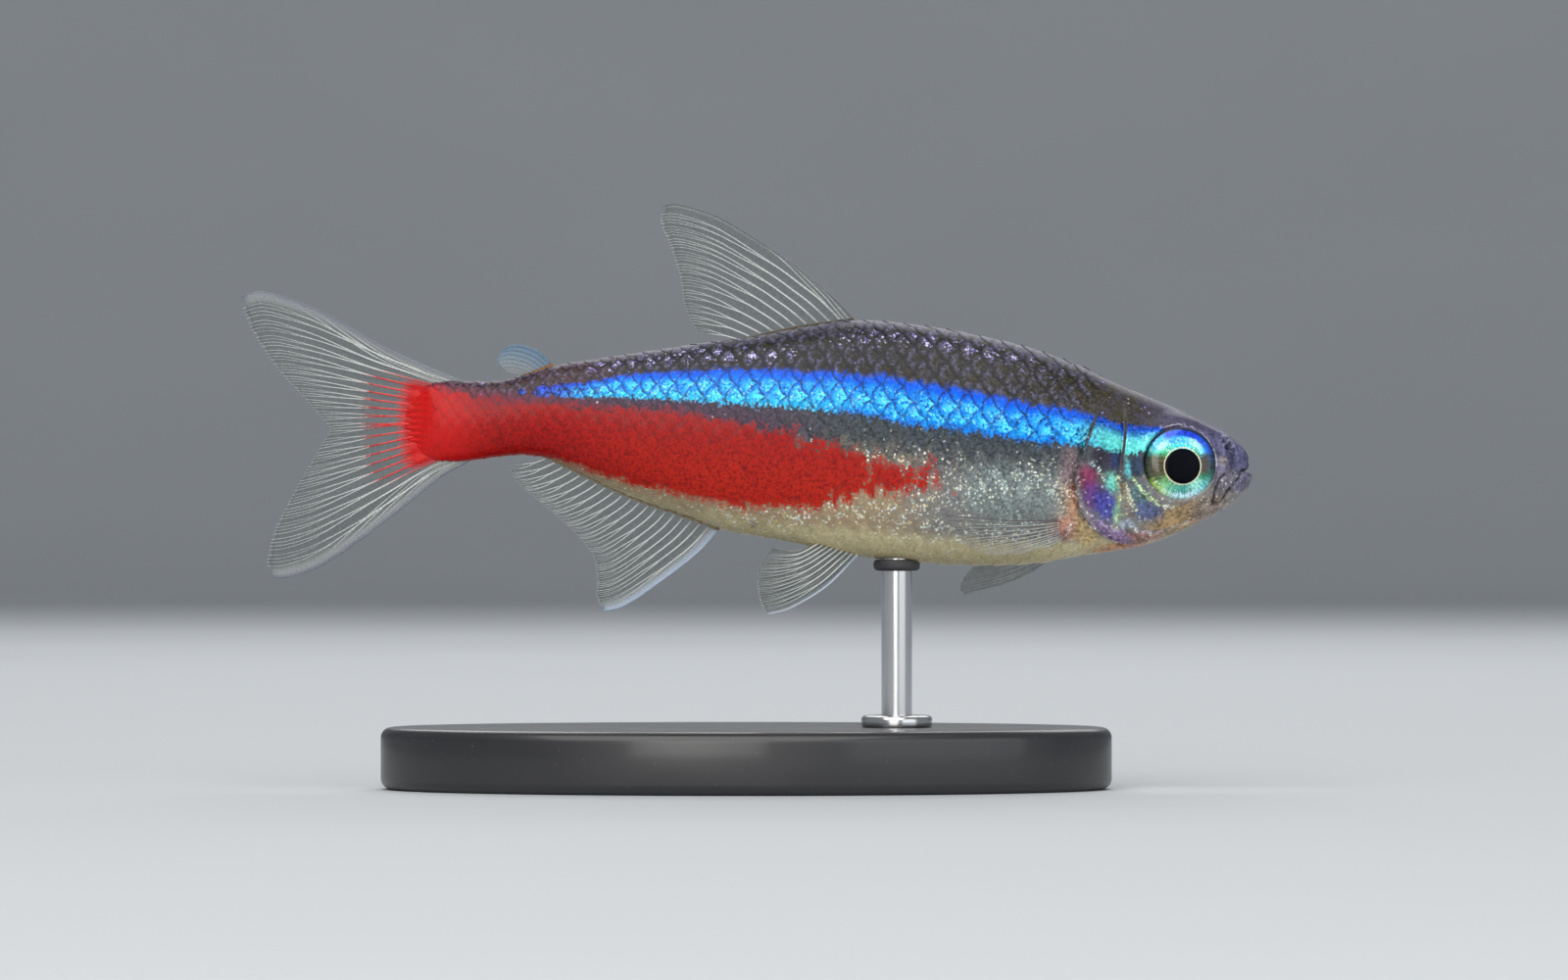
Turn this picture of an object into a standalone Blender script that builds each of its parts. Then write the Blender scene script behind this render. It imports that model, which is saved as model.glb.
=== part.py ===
"""A life-size neon tetra swimming level, held over a small display stand by one rod.

Metres, +Z up. The snout points to +X and the fish's right flank faces -Y.
The origin is the middle of the stand's underside. Lists of sizes are in millimetres,
from the middle of the stand, and are turned into metres as each shape is made.
"""

import math

import bmesh
import bpy
from mathutils import Matrix, Vector
from mathutils.bvhtree import BVHTree

MM = 0.001

GAP = 0.3  # between two neighbours
BEYOND = 20.0  # past the body, for cutters
FIN_THICKNESS = 0.70  # across the crest of a ray
FIN_VALLEY = 0.72  # share of that thickness left between two rays
FIN_TIP = 0.45  # share of it left at the margin
FIN_TAPER_FROM = 0.7  # how far out, as a share of the way, the fins begin to thin

# The body from the end of the tail stem to the mouth:
# back x, back z, belly x, belly z, half width
STATIONS = (
    (-11.30, 14.42, -11.30, 11.68, 0.40),
    (-10.70, 14.52, -10.70, 11.62, 0.54),
    (-9.80, 14.52, -9.80, 11.66, 0.65),
    (-8.70, 14.55, -8.70, 11.80, 0.75),
    (-7.70, 14.78, -7.80, 11.84, 0.86),
    (-6.70, 15.10, -6.80, 11.66, 0.98),
    (-5.30, 15.32, -5.50, 11.02, 1.16),
    (-3.60, 15.58, -3.90, 10.30, 1.37),
    (-1.60, 15.88, -2.10, 9.68, 1.57),
    (0.20, 16.10, -0.70, 9.16, 1.72),
    (2.20, 16.48, 1.30, 8.80, 1.84),
    (4.00, 16.70, 3.70, 8.29, 1.93),
    (6.05, 16.54, 6.05, 8.04, 1.99),
    (8.20, 16.18, 8.30, 7.91, 2.01),
    (10.05, 15.74, 10.30, 7.99, 1.99),
    (11.75, 15.14, 12.05, 8.30, 1.94),
    (13.00, 14.57, 13.50, 8.48, 1.85),
    (14.25, 14.02, 14.80, 8.86, 1.71),
    (15.30, 13.57, 15.85, 9.30, 1.53),
    (16.15, 13.18, 16.65, 9.73, 1.31),
    (16.85, 12.82, 17.28, 10.12, 1.06),
    (17.37, 12.45, 17.68, 10.46, 0.81),
    (17.72, 12.09, 17.91, 10.78, 0.58),
    (17.89, 11.73, 18.00, 11.08, 0.40),
    (17.80, 11.50, 17.90, 11.27, 0.24),
    (17.66, 11.38, 17.66, 11.38, 0.02),
)
SQUARENESS = 2.25  # of a cross-section: 2 is an ellipse
WIDEST_LEVEL = 0.08  # how far the widest level lies above the middle
BODY_RINGS = 92
BODY_SIDES = 44
RINGS_TO_MOUTH = 1.4  # over 1, the rings lie closer together towards the mouth

# Where the body is parted, as lines in the side view (x, z)
GILL_EDGE = (
    (13.10, 16.50),
    (12.75, 14.60),
    (12.15, 12.70),
    (11.90, 11.78),
    (11.68, 10.85),
    (11.80, 10.04),
    (12.18, 9.34),
    (12.88, 8.85),
    (13.60, 8.50),
    (14.20, 7.40),
)
GILL_CUT = (0.27, 0.15)
STEM_FRONT = ((-6.10, 16.50), (-7.50, 10.50))
MOUTH_LINE = ((18.80, 11.80), (17.62, 11.30), (17.28, 10.76), (16.62, 10.10), (15.10, 8.30))
MOUTH_CUT = (0.18, -0.17)
CURVE_STEPS = 30

# The gill cover: a plate let into the side of the head
PLATE_FRONT = ((13.34, 12.50), (13.22, 11.33), (13.18, 10.46), (13.26, 9.58), (13.45, 8.98))
PLATE_TOP = 12.62
PLATE_DEPTH = 0.60
POCKET_REACH = 2.0  # how far the pocket's cutter runs back past the plate

# Eyes
EYE_CENTRE = (15.32, 1.13, 11.62)
EYE_RADIUS = 1.34
EYE_DEPTH = 0.64
EYE_TURN = math.radians(11)
EYE_SEGMENTS, EYE_RINGS = 28, 12
SOCKET_GAP = 0.22
ORBIT_RIM_HEIGHT = 0.09
ORBIT_RIM_RADIUS = 1.80
ORBIT_RIM_WIDTH = 0.34

# Lips and nostrils
LIP_HEIGHT = 0.09
LIP_WIDTH = 0.30
NOSTRILS = ((17.12, 12.23, 0.15), (16.84, 12.37, 0.13))  # x, z, radius
NOSTRIL_SEGMENTS, NOSTRIL_RINGS = 8, 6

# Fins on the middle line, in the side view: the root's places along the body (x), then the
# points (x, z) out along the leading edge to the tip, down the margin, and out along the
# trailing edge to its end
DORSAL_FIN = {
    "root": (3.75, 2.20, -0.10),
    "leading": (
        (3.06, 17.50),
        (2.23, 18.20),
        (1.39, 18.86),
        (-0.28, 19.94),
        (-1.11, 20.39),
        (-1.94, 20.67),
        (-2.55, 20.80),
        (-2.97, 20.74),
    ),
    "margin": ((-3.05, 20.14), (-2.66, 19.14), (-2.34, 18.10), (-2.20, 17.20)),
    "trailing": ((-0.90, 16.32), (-1.70, 16.30)),
}
ADIPOSE_FIN = {
    "root": (-6.90, -7.35, -7.75),
    "leading": ((-7.40, 15.64), (-7.95, 15.82), (-8.35, 15.80), (-8.70, 15.62)),
    "margin": ((-8.90, 15.32), (-8.80, 15.07)),
    "trailing": ((-8.10, 14.98), (-8.50, 14.94)),
}
ANAL_FIN = {
    "root": (-0.95, -2.20, -3.90, -5.50, -6.90),
    "leading": (
        (-1.60, 8.45),
        (-2.47, 7.75),
        (-3.34, 7.12),
        (-3.91, 6.72),
        (-4.49, 6.42),
        (-5.07, 6.32),
    ),
    "margin": (
        (-5.33, 6.80),
        (-5.32, 7.60),
        (-5.56, 8.47),
        (-6.51, 9.51),
        (-7.55, 10.38),
        (-8.20, 10.98),
    ),
    "trailing": ((-7.70, 11.44), (-8.40, 11.42)),
}

# The tail fin is two nodes, one each side of its fork: their roots wrap round the end of the stem
TAIL_FIN_UPPER = {
    "wrap": (-10.90, -11.34),
    "end": (14.36, 13.20),
    "leading": (
        (-11.86, 15.22),
        (-12.97, 15.77),
        (-14.08, 16.41),
        (-15.19, 17.02),
        (-16.30, 17.46),
        (-17.30, 17.72),
        (-18.00, 17.48),
    ),
    "margin": ((-17.84, 16.90), (-17.50, 16.15), (-16.69, 14.96), (-15.69, 13.88)),
    "trailing": ((-13.20, 13.08), (-14.78, 12.96)),
}
TAIL_FIN_LOWER = {
    "wrap": (-10.60, -11.28),
    "end": (11.74, 12.90),
    "leading": (
        (-11.30, 10.67),
        (-12.13, 10.03),
        (-13.80, 8.75),
        (-15.19, 7.86),
        (-16.30, 7.52),
        (-16.95, 7.52),
    ),
    "margin": ((-17.05, 8.10), (-16.80, 9.14), (-16.20, 10.35), (-15.45, 11.55)),
    "trailing": ((-13.20, 12.78), (-14.72, 12.66)),
}

# Paired fins (x, y, z), as they lie on the right: y is the distance out from the middle.
# A pectoral root has its places on the flank (x, z), and a pelvic one on the belly (x, y)
PECTORAL_RIGHT = {
    "root": ((11.22, 9.50), (11.34, 9.25), (11.42, 8.98)),
    "leading": ((9.60, 2.52, 9.55), (7.05, 3.00, 9.74)),
    "margin": ((7.35, 2.84, 8.96), (8.30, 2.54, 8.38)),
    "trailing": ((10.65, 2.04, 8.66), (9.80, 2.16, 8.36)),
}
PECTORAL_LEFT = {
    "root": ((11.42, 8.98), (11.34, 9.25), (11.22, 9.50)),
    "leading": ((10.52, 2.30, 7.86), (9.25, 2.80, 7.22), (7.80, 3.24, 6.84)),
    "margin": ((7.62, 3.28, 7.14), (8.00, 3.26, 7.76)),
    "trailing": ((10.20, 2.66, 8.95), (9.00, 3.16, 8.56)),
}
PELVIC_RIGHT = {
    "root": ((4.00, 0.50), (3.35, 0.56), (2.75, 0.62)),
    "leading": ((3.10, 0.80, 7.42), (2.37, 1.02, 6.87), (1.47, 1.26, 6.38), (0.74, 1.42, 6.20)),
    "margin": ((0.50, 1.38, 6.70), (0.44, 1.26, 7.60)),
    "trailing": ((1.80, 0.86, 8.22), (0.90, 1.06, 8.38)),
}
PECTORAL_STANDOFF = 0.52  # the middle of the fin from the flank: half its thickness and a gap
PELVIC_LEFT_SWING = math.radians(2.5)  # the left one is laid back a little further

# Numbers of fin rays, and of rows of faces along them
TAIL_UPPER_RAYS, TAIL_LOWER_RAYS, TAIL_ROWS = 10, 9, 9
DORSAL_RAYS, DORSAL_ROWS = 11, 8
ANAL_RAYS, ANAL_ROWS = 20, 6
PECTORAL_RAYS, PELVIC_RAYS, PAIRED_ROWS = 11, 8, 6
ADIPOSE_COLUMNS, ADIPOSE_ROWS = 8, 5

# The stand
BASE_LENGTH = 26.0
BASE_WIDTH = 14.0
BASE_HEIGHT = 2.2
BASE_EDGE = 0.35
ROD_X = 5.35
ROD_RADIUS = 0.55
BASE_SIDES, ROD_SIDES = 56, 24


def between(values, place):
    """A smooth value at a place counted along a list of rows of numbers, through each row."""
    last = len(values) - 1
    first = min(int(place), last - 1)
    t = place - first
    rows = [values[min(max(first + step, 0), last)] for step in (-1, 0, 1, 2)]
    return [
        b + 0.5 * t * (c - a + t * (2 * a - 5 * b + 4 * c - d + t * (3 * (b - c) + d - a)))
        for a, b, c, d in zip(*rows)
    ]


def along_curve(points, share):
    """The point at a share of the way along a smooth curve through the points."""
    lengths = [(Vector(b) - Vector(a)).length for a, b in zip(points, points[1:])]
    left = share * sum(lengths)
    index = 0
    while index < len(lengths) - 1 and left > lengths[index]:
        left -= lengths[index]
        index += 1
    return Vector(between(points, index + min(left / lengths[index], 1.0)))


def smooth_line(points):
    """The same line with its corners rounded off, for a cutter's outline."""
    return [tuple(along_curve(points, step / CURVE_STEPS)) for step in range(CURVE_STEPS + 1)]


def shifted(line, step, share=1.0):
    return [(x + step[0] * share, z + step[1] * share) for x, z in line]


def distance_to_line(x, z, line):
    """How far a point of the side view is from a line of points."""
    point = Vector((x, z))
    nearest = math.inf
    for a, b in zip(line, line[1:]):
        start, step = Vector(a), Vector(b) - Vector(a)
        share = min(max((point - start).dot(step) / step.length_squared, 0.0), 1.0)
        nearest = min(nearest, (point - start - step * share).length)
    return nearest


def bump(distance, width):
    return math.exp(-((distance / width) ** 2))


def swelling(x, z):
    """How far the side of the head stands out for the rim of the eye and the lips."""
    from_eye = math.hypot(x - EYE_CENTRE[0], z - EYE_CENTRE[2])
    rim = ORBIT_RIM_HEIGHT * bump(from_eye - ORBIT_RIM_RADIUS, ORBIT_RIM_WIDTH)
    lips = LIP_HEIGHT * bump(distance_to_line(x, z, MOUTH_LINE[1:4]), LIP_WIDTH)
    return rim + lips


def body_point(along, around, thinner):
    """A point of the body's surface: along runs from 0 at the tail to 1 at the mouth."""
    back_x, back_z, belly_x, belly_z, half_width = between(STATIONS, along * (len(STATIONS) - 1))
    half_width = max(half_width - thinner, STATIONS[-1][-1])
    sideways, upwards = math.cos(around), math.sin(around)
    power = 2 / SQUARENESS
    out = math.copysign(abs(sideways) ** power, sideways)
    up = math.copysign(abs(upwards) ** power, upwards)
    up += WIDEST_LEVEL * (1 - up * up)
    x = (back_x + belly_x) / 2 + (back_x - belly_x) / 2 * up
    z = (back_z + belly_z) / 2 + (back_z - belly_z) / 2 * up
    y = out * half_width + (0 if thinner else sideways * swelling(x, z))
    return Vector((x, y, z)) * MM


def link(obj, collection):
    for other in obj.users_collection:
        other.objects.unlink(obj)
    collection.objects.link(obj)
    return obj


def object_from(bm, name, collection):
    mesh = bpy.data.meshes.new(name)
    bm.to_mesh(mesh)
    bm.free()
    return link(bpy.data.objects.new(name, mesh), collection)


def hide(cutter):
    cutter.hide_render = True
    cutter.display_type = "WIRE"
    return cutter


def body_shape(thinner=0.0):
    """The whole body, closed: a sphere whose poles become the end of the tail and the mouth."""
    bm = bmesh.new()
    bmesh.ops.create_uvsphere(bm, u_segments=BODY_SIDES, v_segments=BODY_RINGS, radius=1.0)
    for vert in bm.verts:
        from_mouth = math.acos(min(max(vert.co.z, -1.0), 1.0)) / math.pi
        around = math.atan2(vert.co.y, vert.co.x)
        vert.co = body_point(1.0 - from_mouth**RINGS_TO_MOUTH, around, thinner)
    return bm


def prism(name, outline, collection, side=0):
    """A cutter: an outline of the side view, drawn out over both flanks, or over one side."""
    low = 0.0 if side > 0 else -BEYOND
    high = 0.0 if side < 0 else BEYOND
    bm = bmesh.new()
    corners = [bm.verts.new(Vector((x, low, z)) * MM) for x, z in outline]
    face = bm.faces.new(corners)
    drawn = bmesh.ops.extrude_face_region(bm, geom=[face])
    moved = [g for g in drawn["geom"] if isinstance(g, bmesh.types.BMVert)]
    bmesh.ops.translate(bm, verts=moved, vec=Vector((0, high - low, 0)) * MM)
    bmesh.ops.recalc_face_normals(bm, faces=bm.faces)
    return hide(object_from(bm, name, collection))


def boolean(obj, cutter, operation):
    modifier = obj.modifiers.new(f"{operation}_{cutter.name}", "BOOLEAN")
    modifier.object = cutter
    modifier.operation = operation
    modifier.solver = "EXACT"


def material(name, colour, roughness, metallic=0.0):
    made = bpy.data.materials.new(name)
    made.use_nodes = True
    shader = made.node_tree.nodes["Principled BSDF"]
    shader.inputs["Base Color"].default_value = (*colour, 1.0)
    shader.inputs["Roughness"].default_value = roughness
    shader.inputs["Metallic"].default_value = metallic
    made.diffuse_color = (*colour, 1.0)
    return made


def finish(obj, finish_material, smooth=True):
    obj.data.materials.clear()
    obj.data.materials.append(finish_material)
    if smooth:
        obj.data.shade_smooth()
    return obj


def ball(name, centre, radii, turn, collection, segments, rings):
    """An ellipsoid whose short axis points sideways, turned about the upright."""
    bm = bmesh.new()
    bmesh.ops.create_uvsphere(bm, u_segments=segments, v_segments=rings, radius=MM)
    shape = Matrix.Diagonal((radii[0], radii[2], radii[1], 1.0))
    sideways = Matrix.Rotation(math.pi / 2, 4, "X")
    place = Matrix.Translation(Vector(centre) * MM) @ Matrix.Rotation(turn, 4, "Z")
    bmesh.ops.transform(bm, matrix=place @ sideways @ shape, verts=bm.verts)
    return object_from(bm, name, collection)


def eye(name, side, collection, gap=0.0):
    x, y, z = EYE_CENTRE
    radii = (EYE_RADIUS + gap, EYE_DEPTH + gap, EYE_RADIUS + gap)
    facets = (EYE_SEGMENTS, EYE_RINGS)
    return ball(name, (x, side * y, z), radii, -side * EYE_TURN, collection, *facets)


def surface(tree, start, direction):
    """Where a line meets the body's surface, in millimetres."""
    return tree.ray_cast(Vector(start) * MM, Vector(direction))[0] / MM


def above_back(tree, x):
    hit = surface(tree, (x, 0, BEYOND), (0, 0, -1))
    return Vector((x, 0, hit.z + GAP))


def below_belly(tree, x, y=0.0):
    hit = surface(tree, (x, y, 0), (0, 0, 1))
    return Vector((x, y, hit.z - GAP))


def beside_flank(tree, x, z):
    hit = surface(tree, (x, BEYOND, z), (0, -1, 0))
    return Vector((x, hit.y + PECTORAL_STANDOFF, z))


def stem_wrap(tree, outline, place):
    """The root of half a tail fin: along the top or underside of the stem, then down its end."""
    tail_end = STATIONS[0][0] - GAP
    start_x, corner_x = outline["wrap"]
    start = place(tree, start_x)
    corner = Vector((corner_x, 0, start.z))
    return [start, corner] + [Vector((tail_end, 0, z)) for z in outline["end"]]


def edges_of(outline, root):
    """The four edges of a fin as lists of points, each from the root or the leading edge."""
    flat = {
        part: [Vector(p) if len(p) == 3 else Vector((p[0], 0, p[1])) for p in outline[part]]
        for part in ("leading", "margin", "trailing")
    }
    leading = [root[0]] + flat["leading"]
    trailing = [root[-1]] + flat["trailing"]
    return root, leading, [leading[-1]] + flat["margin"] + [trailing[-1]], trailing


def patch_point(edges, u, v):
    """A point between four edges: u runs back from the leading edge, v out from the root."""
    root, leading, margin, trailing = edges
    across = along_curve(root, u) * (1 - v) + along_curve(margin, u) * v
    outwards = along_curve(leading, v) * (1 - u) + along_curve(trailing, v) * u
    near = root[0] * (1 - u) + root[-1] * u
    far = margin[0] * (1 - u) + margin[-1] * u
    return across + outwards - near * (1 - v) - far * v


def thickness_share(u, v, rays):
    """Full on a ray's crest, less between two rays, and less towards the margin."""
    crest = 0.5 + 0.5 * math.cos(2 * math.pi * rays * u) if rays else 0.5
    to_tip = max(0.0, v - FIN_TAPER_FROM) / (1 - FIN_TAPER_FROM)
    return (FIN_VALLEY + (1 - FIN_VALLEY) * crest) * (1 - (1 - FIN_TIP) * to_tip)


def fin(name, outline, root, rays, rows, collection, side=1, swing=0.0):
    """A thin vane stretched between four edges, with a raised ridge along each ray.

    Its columns of faces run along the rays. side is -1 for a fin of the right side, and
    swing turns the fin about the first corner of its root.
    """
    edges = edges_of(outline, root)
    turn = Matrix.Rotation(swing, 3, "Y")
    bm = bmesh.new()
    columns = 2 * rays if rays else ADIPOSE_COLUMNS
    bmesh.ops.create_grid(bm, x_segments=columns, y_segments=rows, size=1.0)
    shares = []
    for vert in bm.verts:
        u, v = (vert.co.x + 1) / 2, (vert.co.y + 1) / 2
        shares.append(thickness_share(u, v, rays))
        point = root[0] + turn @ (patch_point(edges, u, v) - root[0])
        vert.co = Vector((point.x, side * point.y, point.z)) * MM
    bmesh.ops.triangulate(bm, faces=bm.faces)
    obj = object_from(bm, name, collection)
    group = obj.vertex_groups.new(name="thickness")
    for index, share in enumerate(shares):
        group.add([index], share, "REPLACE")
    solid = obj.modifiers.new("thickness", "SOLIDIFY")
    solid.thickness = FIN_THICKNESS * MM
    solid.offset = 0.0
    solid.vertex_group = group.name
    return obj


def fins(tree, collection):
    upper_tail = stem_wrap(tree, TAIL_FIN_UPPER, above_back)
    lower_tail = stem_wrap(tree, TAIL_FIN_LOWER, below_belly)
    dorsal = [above_back(tree, x) for x in DORSAL_FIN["root"]]
    adipose = [above_back(tree, x) for x in ADIPOSE_FIN["root"]]
    anal = [below_belly(tree, x) for x in ANAL_FIN["root"]]
    pelvic = [below_belly(tree, x, y) for x, y in PELVIC_RIGHT["root"]]
    right = [beside_flank(tree, x, z) for x, z in PECTORAL_RIGHT["root"]]
    left = [beside_flank(tree, x, z) for x, z in PECTORAL_LEFT["root"]]
    paired = (PAIRED_ROWS, collection)
    return (
        fin("fin_tail_upper", TAIL_FIN_UPPER, upper_tail, TAIL_UPPER_RAYS, TAIL_ROWS, collection),
        fin("fin_tail_lower", TAIL_FIN_LOWER, lower_tail, TAIL_LOWER_RAYS, TAIL_ROWS, collection),
        fin("fin_dorsal", DORSAL_FIN, dorsal, DORSAL_RAYS, DORSAL_ROWS, collection),
        fin("fin_adipose", ADIPOSE_FIN, adipose, 0, ADIPOSE_ROWS, collection),
        fin("fin_anal", ANAL_FIN, anal, ANAL_RAYS, ANAL_ROWS, collection),
        fin("fin_pectoral_right", PECTORAL_RIGHT, right, PECTORAL_RAYS, *paired, -1),
        fin("fin_pectoral_left", PECTORAL_LEFT, left, PECTORAL_RAYS, *paired),
        fin("fin_pelvic_right", PELVIC_RIGHT, pelvic, PELVIC_RAYS, *paired, -1),
        fin("fin_pelvic_left", PELVIC_RIGHT, pelvic, PELVIC_RAYS, *paired, 1, PELVIC_LEFT_SWING),
    )


def nostrils(tree, collection):
    cutters = []
    facets = (NOSTRIL_SEGMENTS, NOSTRIL_RINGS)
    for index, (x, z, radius) in enumerate(NOSTRILS):
        out = surface(tree, (x, BEYOND, z), (0, -1, 0)).y
        for side, word in ((-1, "right"), (1, "left")):
            name = f"nostril_{word}_{index}"
            pit = ball(name, (x, side * out, z), (radius,) * 3, 0, collection, *facets)
            cutters.append(hide(pit))
    return cutters


def plate_outlines():
    """The gill cover in the side view, and the pocket in the head that it lies in."""
    front = smooth_line(PLATE_FRONT)
    rear = smooth_line(shifted(GILL_EDGE, GILL_CUT))
    rear = [(x, z) for x, z in rear if PLATE_FRONT[-1][1] < z < PLATE_TOP]
    pocket = [(front[0][0], front[0][1] + GAP)] + front[1:-1] + [(front[-1][0], front[-1][1] - GAP)]
    behind = [(x - POCKET_REACH, z) for x, z in rear]
    return front + rear[::-1], shifted(pocket, (GAP, 0.0)) + behind[::-1]


def stand(tree, collection, base_material, rod_material):
    bpy.ops.mesh.primitive_cylinder_add(
        vertices=BASE_SIDES,
        radius=MM / 2,
        depth=BASE_HEIGHT * MM,
        location=(0, 0, BASE_HEIGHT / 2 * MM),
    )
    base = bpy.context.object
    base.name = "stand_base"
    base.scale = (BASE_LENGTH, BASE_WIDTH, 1.0)
    bpy.ops.object.transform_apply(location=False, rotation=False, scale=True)
    edge = base.modifiers.new("edge", "BEVEL")
    edge.width = BASE_EDGE * MM
    edge.segments = 2
    edge.limit_method = "ANGLE"
    edge.angle_limit = math.radians(60)
    finish(link(base, collection), base_material, smooth=False)

    top = below_belly(tree, ROD_X).z
    foot = BASE_HEIGHT + GAP
    bpy.ops.mesh.primitive_cylinder_add(
        vertices=ROD_SIDES,
        radius=ROD_RADIUS * MM,
        depth=(top - foot) * MM,
        location=Vector((ROD_X, 0, (top + foot) / 2)) * MM,
    )
    rod = bpy.context.object
    rod.name = "stand_rod"
    finish(link(rod, collection), rod_material, smooth=False)


def main():
    for obj in list(bpy.data.objects):
        bpy.data.objects.remove(obj)
    fish = bpy.data.collections.new("neon_tetra")
    cutters = bpy.data.collections.new("cutters")
    for collection in (fish, cutters):
        bpy.context.scene.collection.children.link(collection)
    cutters.hide_render = True

    back = material("back_skin", (0.16, 0.15, 0.17), 0.35)
    flesh = material("tail_skin", (0.62, 0.03, 0.02), 0.4)
    silver = material("gill_plate", (0.35, 0.36, 0.55), 0.25, 0.4)
    eye_finish = material("eye", (0.10, 0.55, 0.75), 0.1)
    membrane = material("fin_membrane", (0.62, 0.68, 0.66), 0.35)
    black = material("stand_black", (0.03, 0.03, 0.032), 0.35)
    steel = material("stand_steel", (0.62, 0.62, 0.63), 0.25, 1.0)

    whole = body_shape()
    tree = BVHTree.FromBMesh(whole)
    body_mesh = bpy.data.meshes.new("body")
    whole.to_mesh(body_mesh)
    whole.free()
    core = hide(object_from(body_shape(PLATE_DEPTH), "core_plate", cutters))
    inner_core = hide(object_from(body_shape(PLATE_DEPTH + GAP), "core_pocket", cutters))

    def flesh_part(name, outline, finish_material, side=0):
        obj = link(bpy.data.objects.new(name, body_mesh.copy()), fish)
        boolean(obj, prism(f"cut_{name}", outline, cutters, side), "INTERSECT")
        return finish(obj, finish_material)

    trunk_edge = smooth_line(GILL_EDGE)
    head_edge = smooth_line(shifted(GILL_EDGE, GILL_CUT))
    head_mouth = shifted(MOUTH_LINE, MOUTH_CUT, -0.5)
    jaw_mouth = shifted(MOUTH_LINE, MOUTH_CUT, 0.5)
    head = flesh_part("head", head_edge + head_mouth[::-1] + [(BEYOND, BEYOND)], back)
    flesh_part("lower_jaw", jaw_mouth + [(BEYOND, 0)], back)
    under = [(trunk_edge[-1][0], 0), (STEM_FRONT[-1][0], 0)]
    flesh_part("trunk", trunk_edge + under + list(STEM_FRONT[::-1]), back)
    stem_front = shifted(STEM_FRONT, (-GAP, 0.0))
    behind_stem = [(-BEYOND, z) for x, z in stem_front]
    flesh_part("tail_stem", stem_front + behind_stem[::-1], flesh)

    plate, pocket = plate_outlines()
    pocket_cutter = prism("gill_pocket", pocket, cutters)
    boolean(pocket_cutter, inner_core, "DIFFERENCE")
    boolean(head, pocket_cutter, "DIFFERENCE")
    for side, word in ((-1, "right"), (1, "left")):
        cover = flesh_part(f"gill_cover_{word}", plate, silver, side)
        boolean(cover, core, "DIFFERENCE")
        finish(eye(f"eye_{word}", side, fish), eye_finish)
        boolean(head, hide(eye(f"socket_{word}", side, cutters, SOCKET_GAP)), "DIFFERENCE")
    for cutter in nostrils(tree, cutters):
        boolean(head, cutter, "DIFFERENCE")
    for made in fins(tree, fish):
        finish(made, membrane)
    stand(tree, fish, black, steel)


main()
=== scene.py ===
"""Dresses the solids of a life-size neon tetra held over a small display stand.

Lengths in the tables below are in millimetres, in the frame of the solids: +X is the way
the snout points, the right flank faces -Y, and the stand's underside lies at z = 0.
"""

import math

import bmesh
import bpy
import numpy as np
from bpy.props import FloatProperty, FloatVectorProperty, IntProperty, PointerProperty
from bpy.types import Operator, Panel, PropertyGroup
from mathutils import Matrix, Vector
from mathutils.bvhtree import BVHTree


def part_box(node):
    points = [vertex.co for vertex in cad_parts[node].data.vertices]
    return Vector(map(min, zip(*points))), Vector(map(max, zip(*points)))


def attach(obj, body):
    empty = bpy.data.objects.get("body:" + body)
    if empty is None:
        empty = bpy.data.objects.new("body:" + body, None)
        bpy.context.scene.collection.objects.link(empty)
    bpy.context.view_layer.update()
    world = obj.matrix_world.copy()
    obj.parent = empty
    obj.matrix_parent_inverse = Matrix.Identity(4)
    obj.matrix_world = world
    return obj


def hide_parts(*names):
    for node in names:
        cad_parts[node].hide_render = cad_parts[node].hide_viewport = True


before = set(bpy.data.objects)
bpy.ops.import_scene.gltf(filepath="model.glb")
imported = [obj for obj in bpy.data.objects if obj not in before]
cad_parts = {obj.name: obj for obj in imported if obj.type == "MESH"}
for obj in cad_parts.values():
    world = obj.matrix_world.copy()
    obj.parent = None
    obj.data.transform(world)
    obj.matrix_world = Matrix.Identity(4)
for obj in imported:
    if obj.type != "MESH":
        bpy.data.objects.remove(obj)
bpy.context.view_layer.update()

bl_info = {
    "name": "Neon tetra model",
    "version": (1, 0, 0),
    "blender": (4, 5, 0),
    "location": "3D View > Sidebar > Neon tetra",
    "description": "Dresses the solids of a neon tetra on its display stand",
    "category": "Add Mesh",
}

MM = 0.001
SIDES = ((-1, "right"), (1, "left"))


def rows(wide, *numbers):
    """A table with so many numbers to a row."""
    return tuple(numbers[at : at + wide] for at in range(0, len(numbers), wide))


def line(*numbers):
    """Points of the side view, x and z of one after the other."""
    return rows(2, *numbers)


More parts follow.
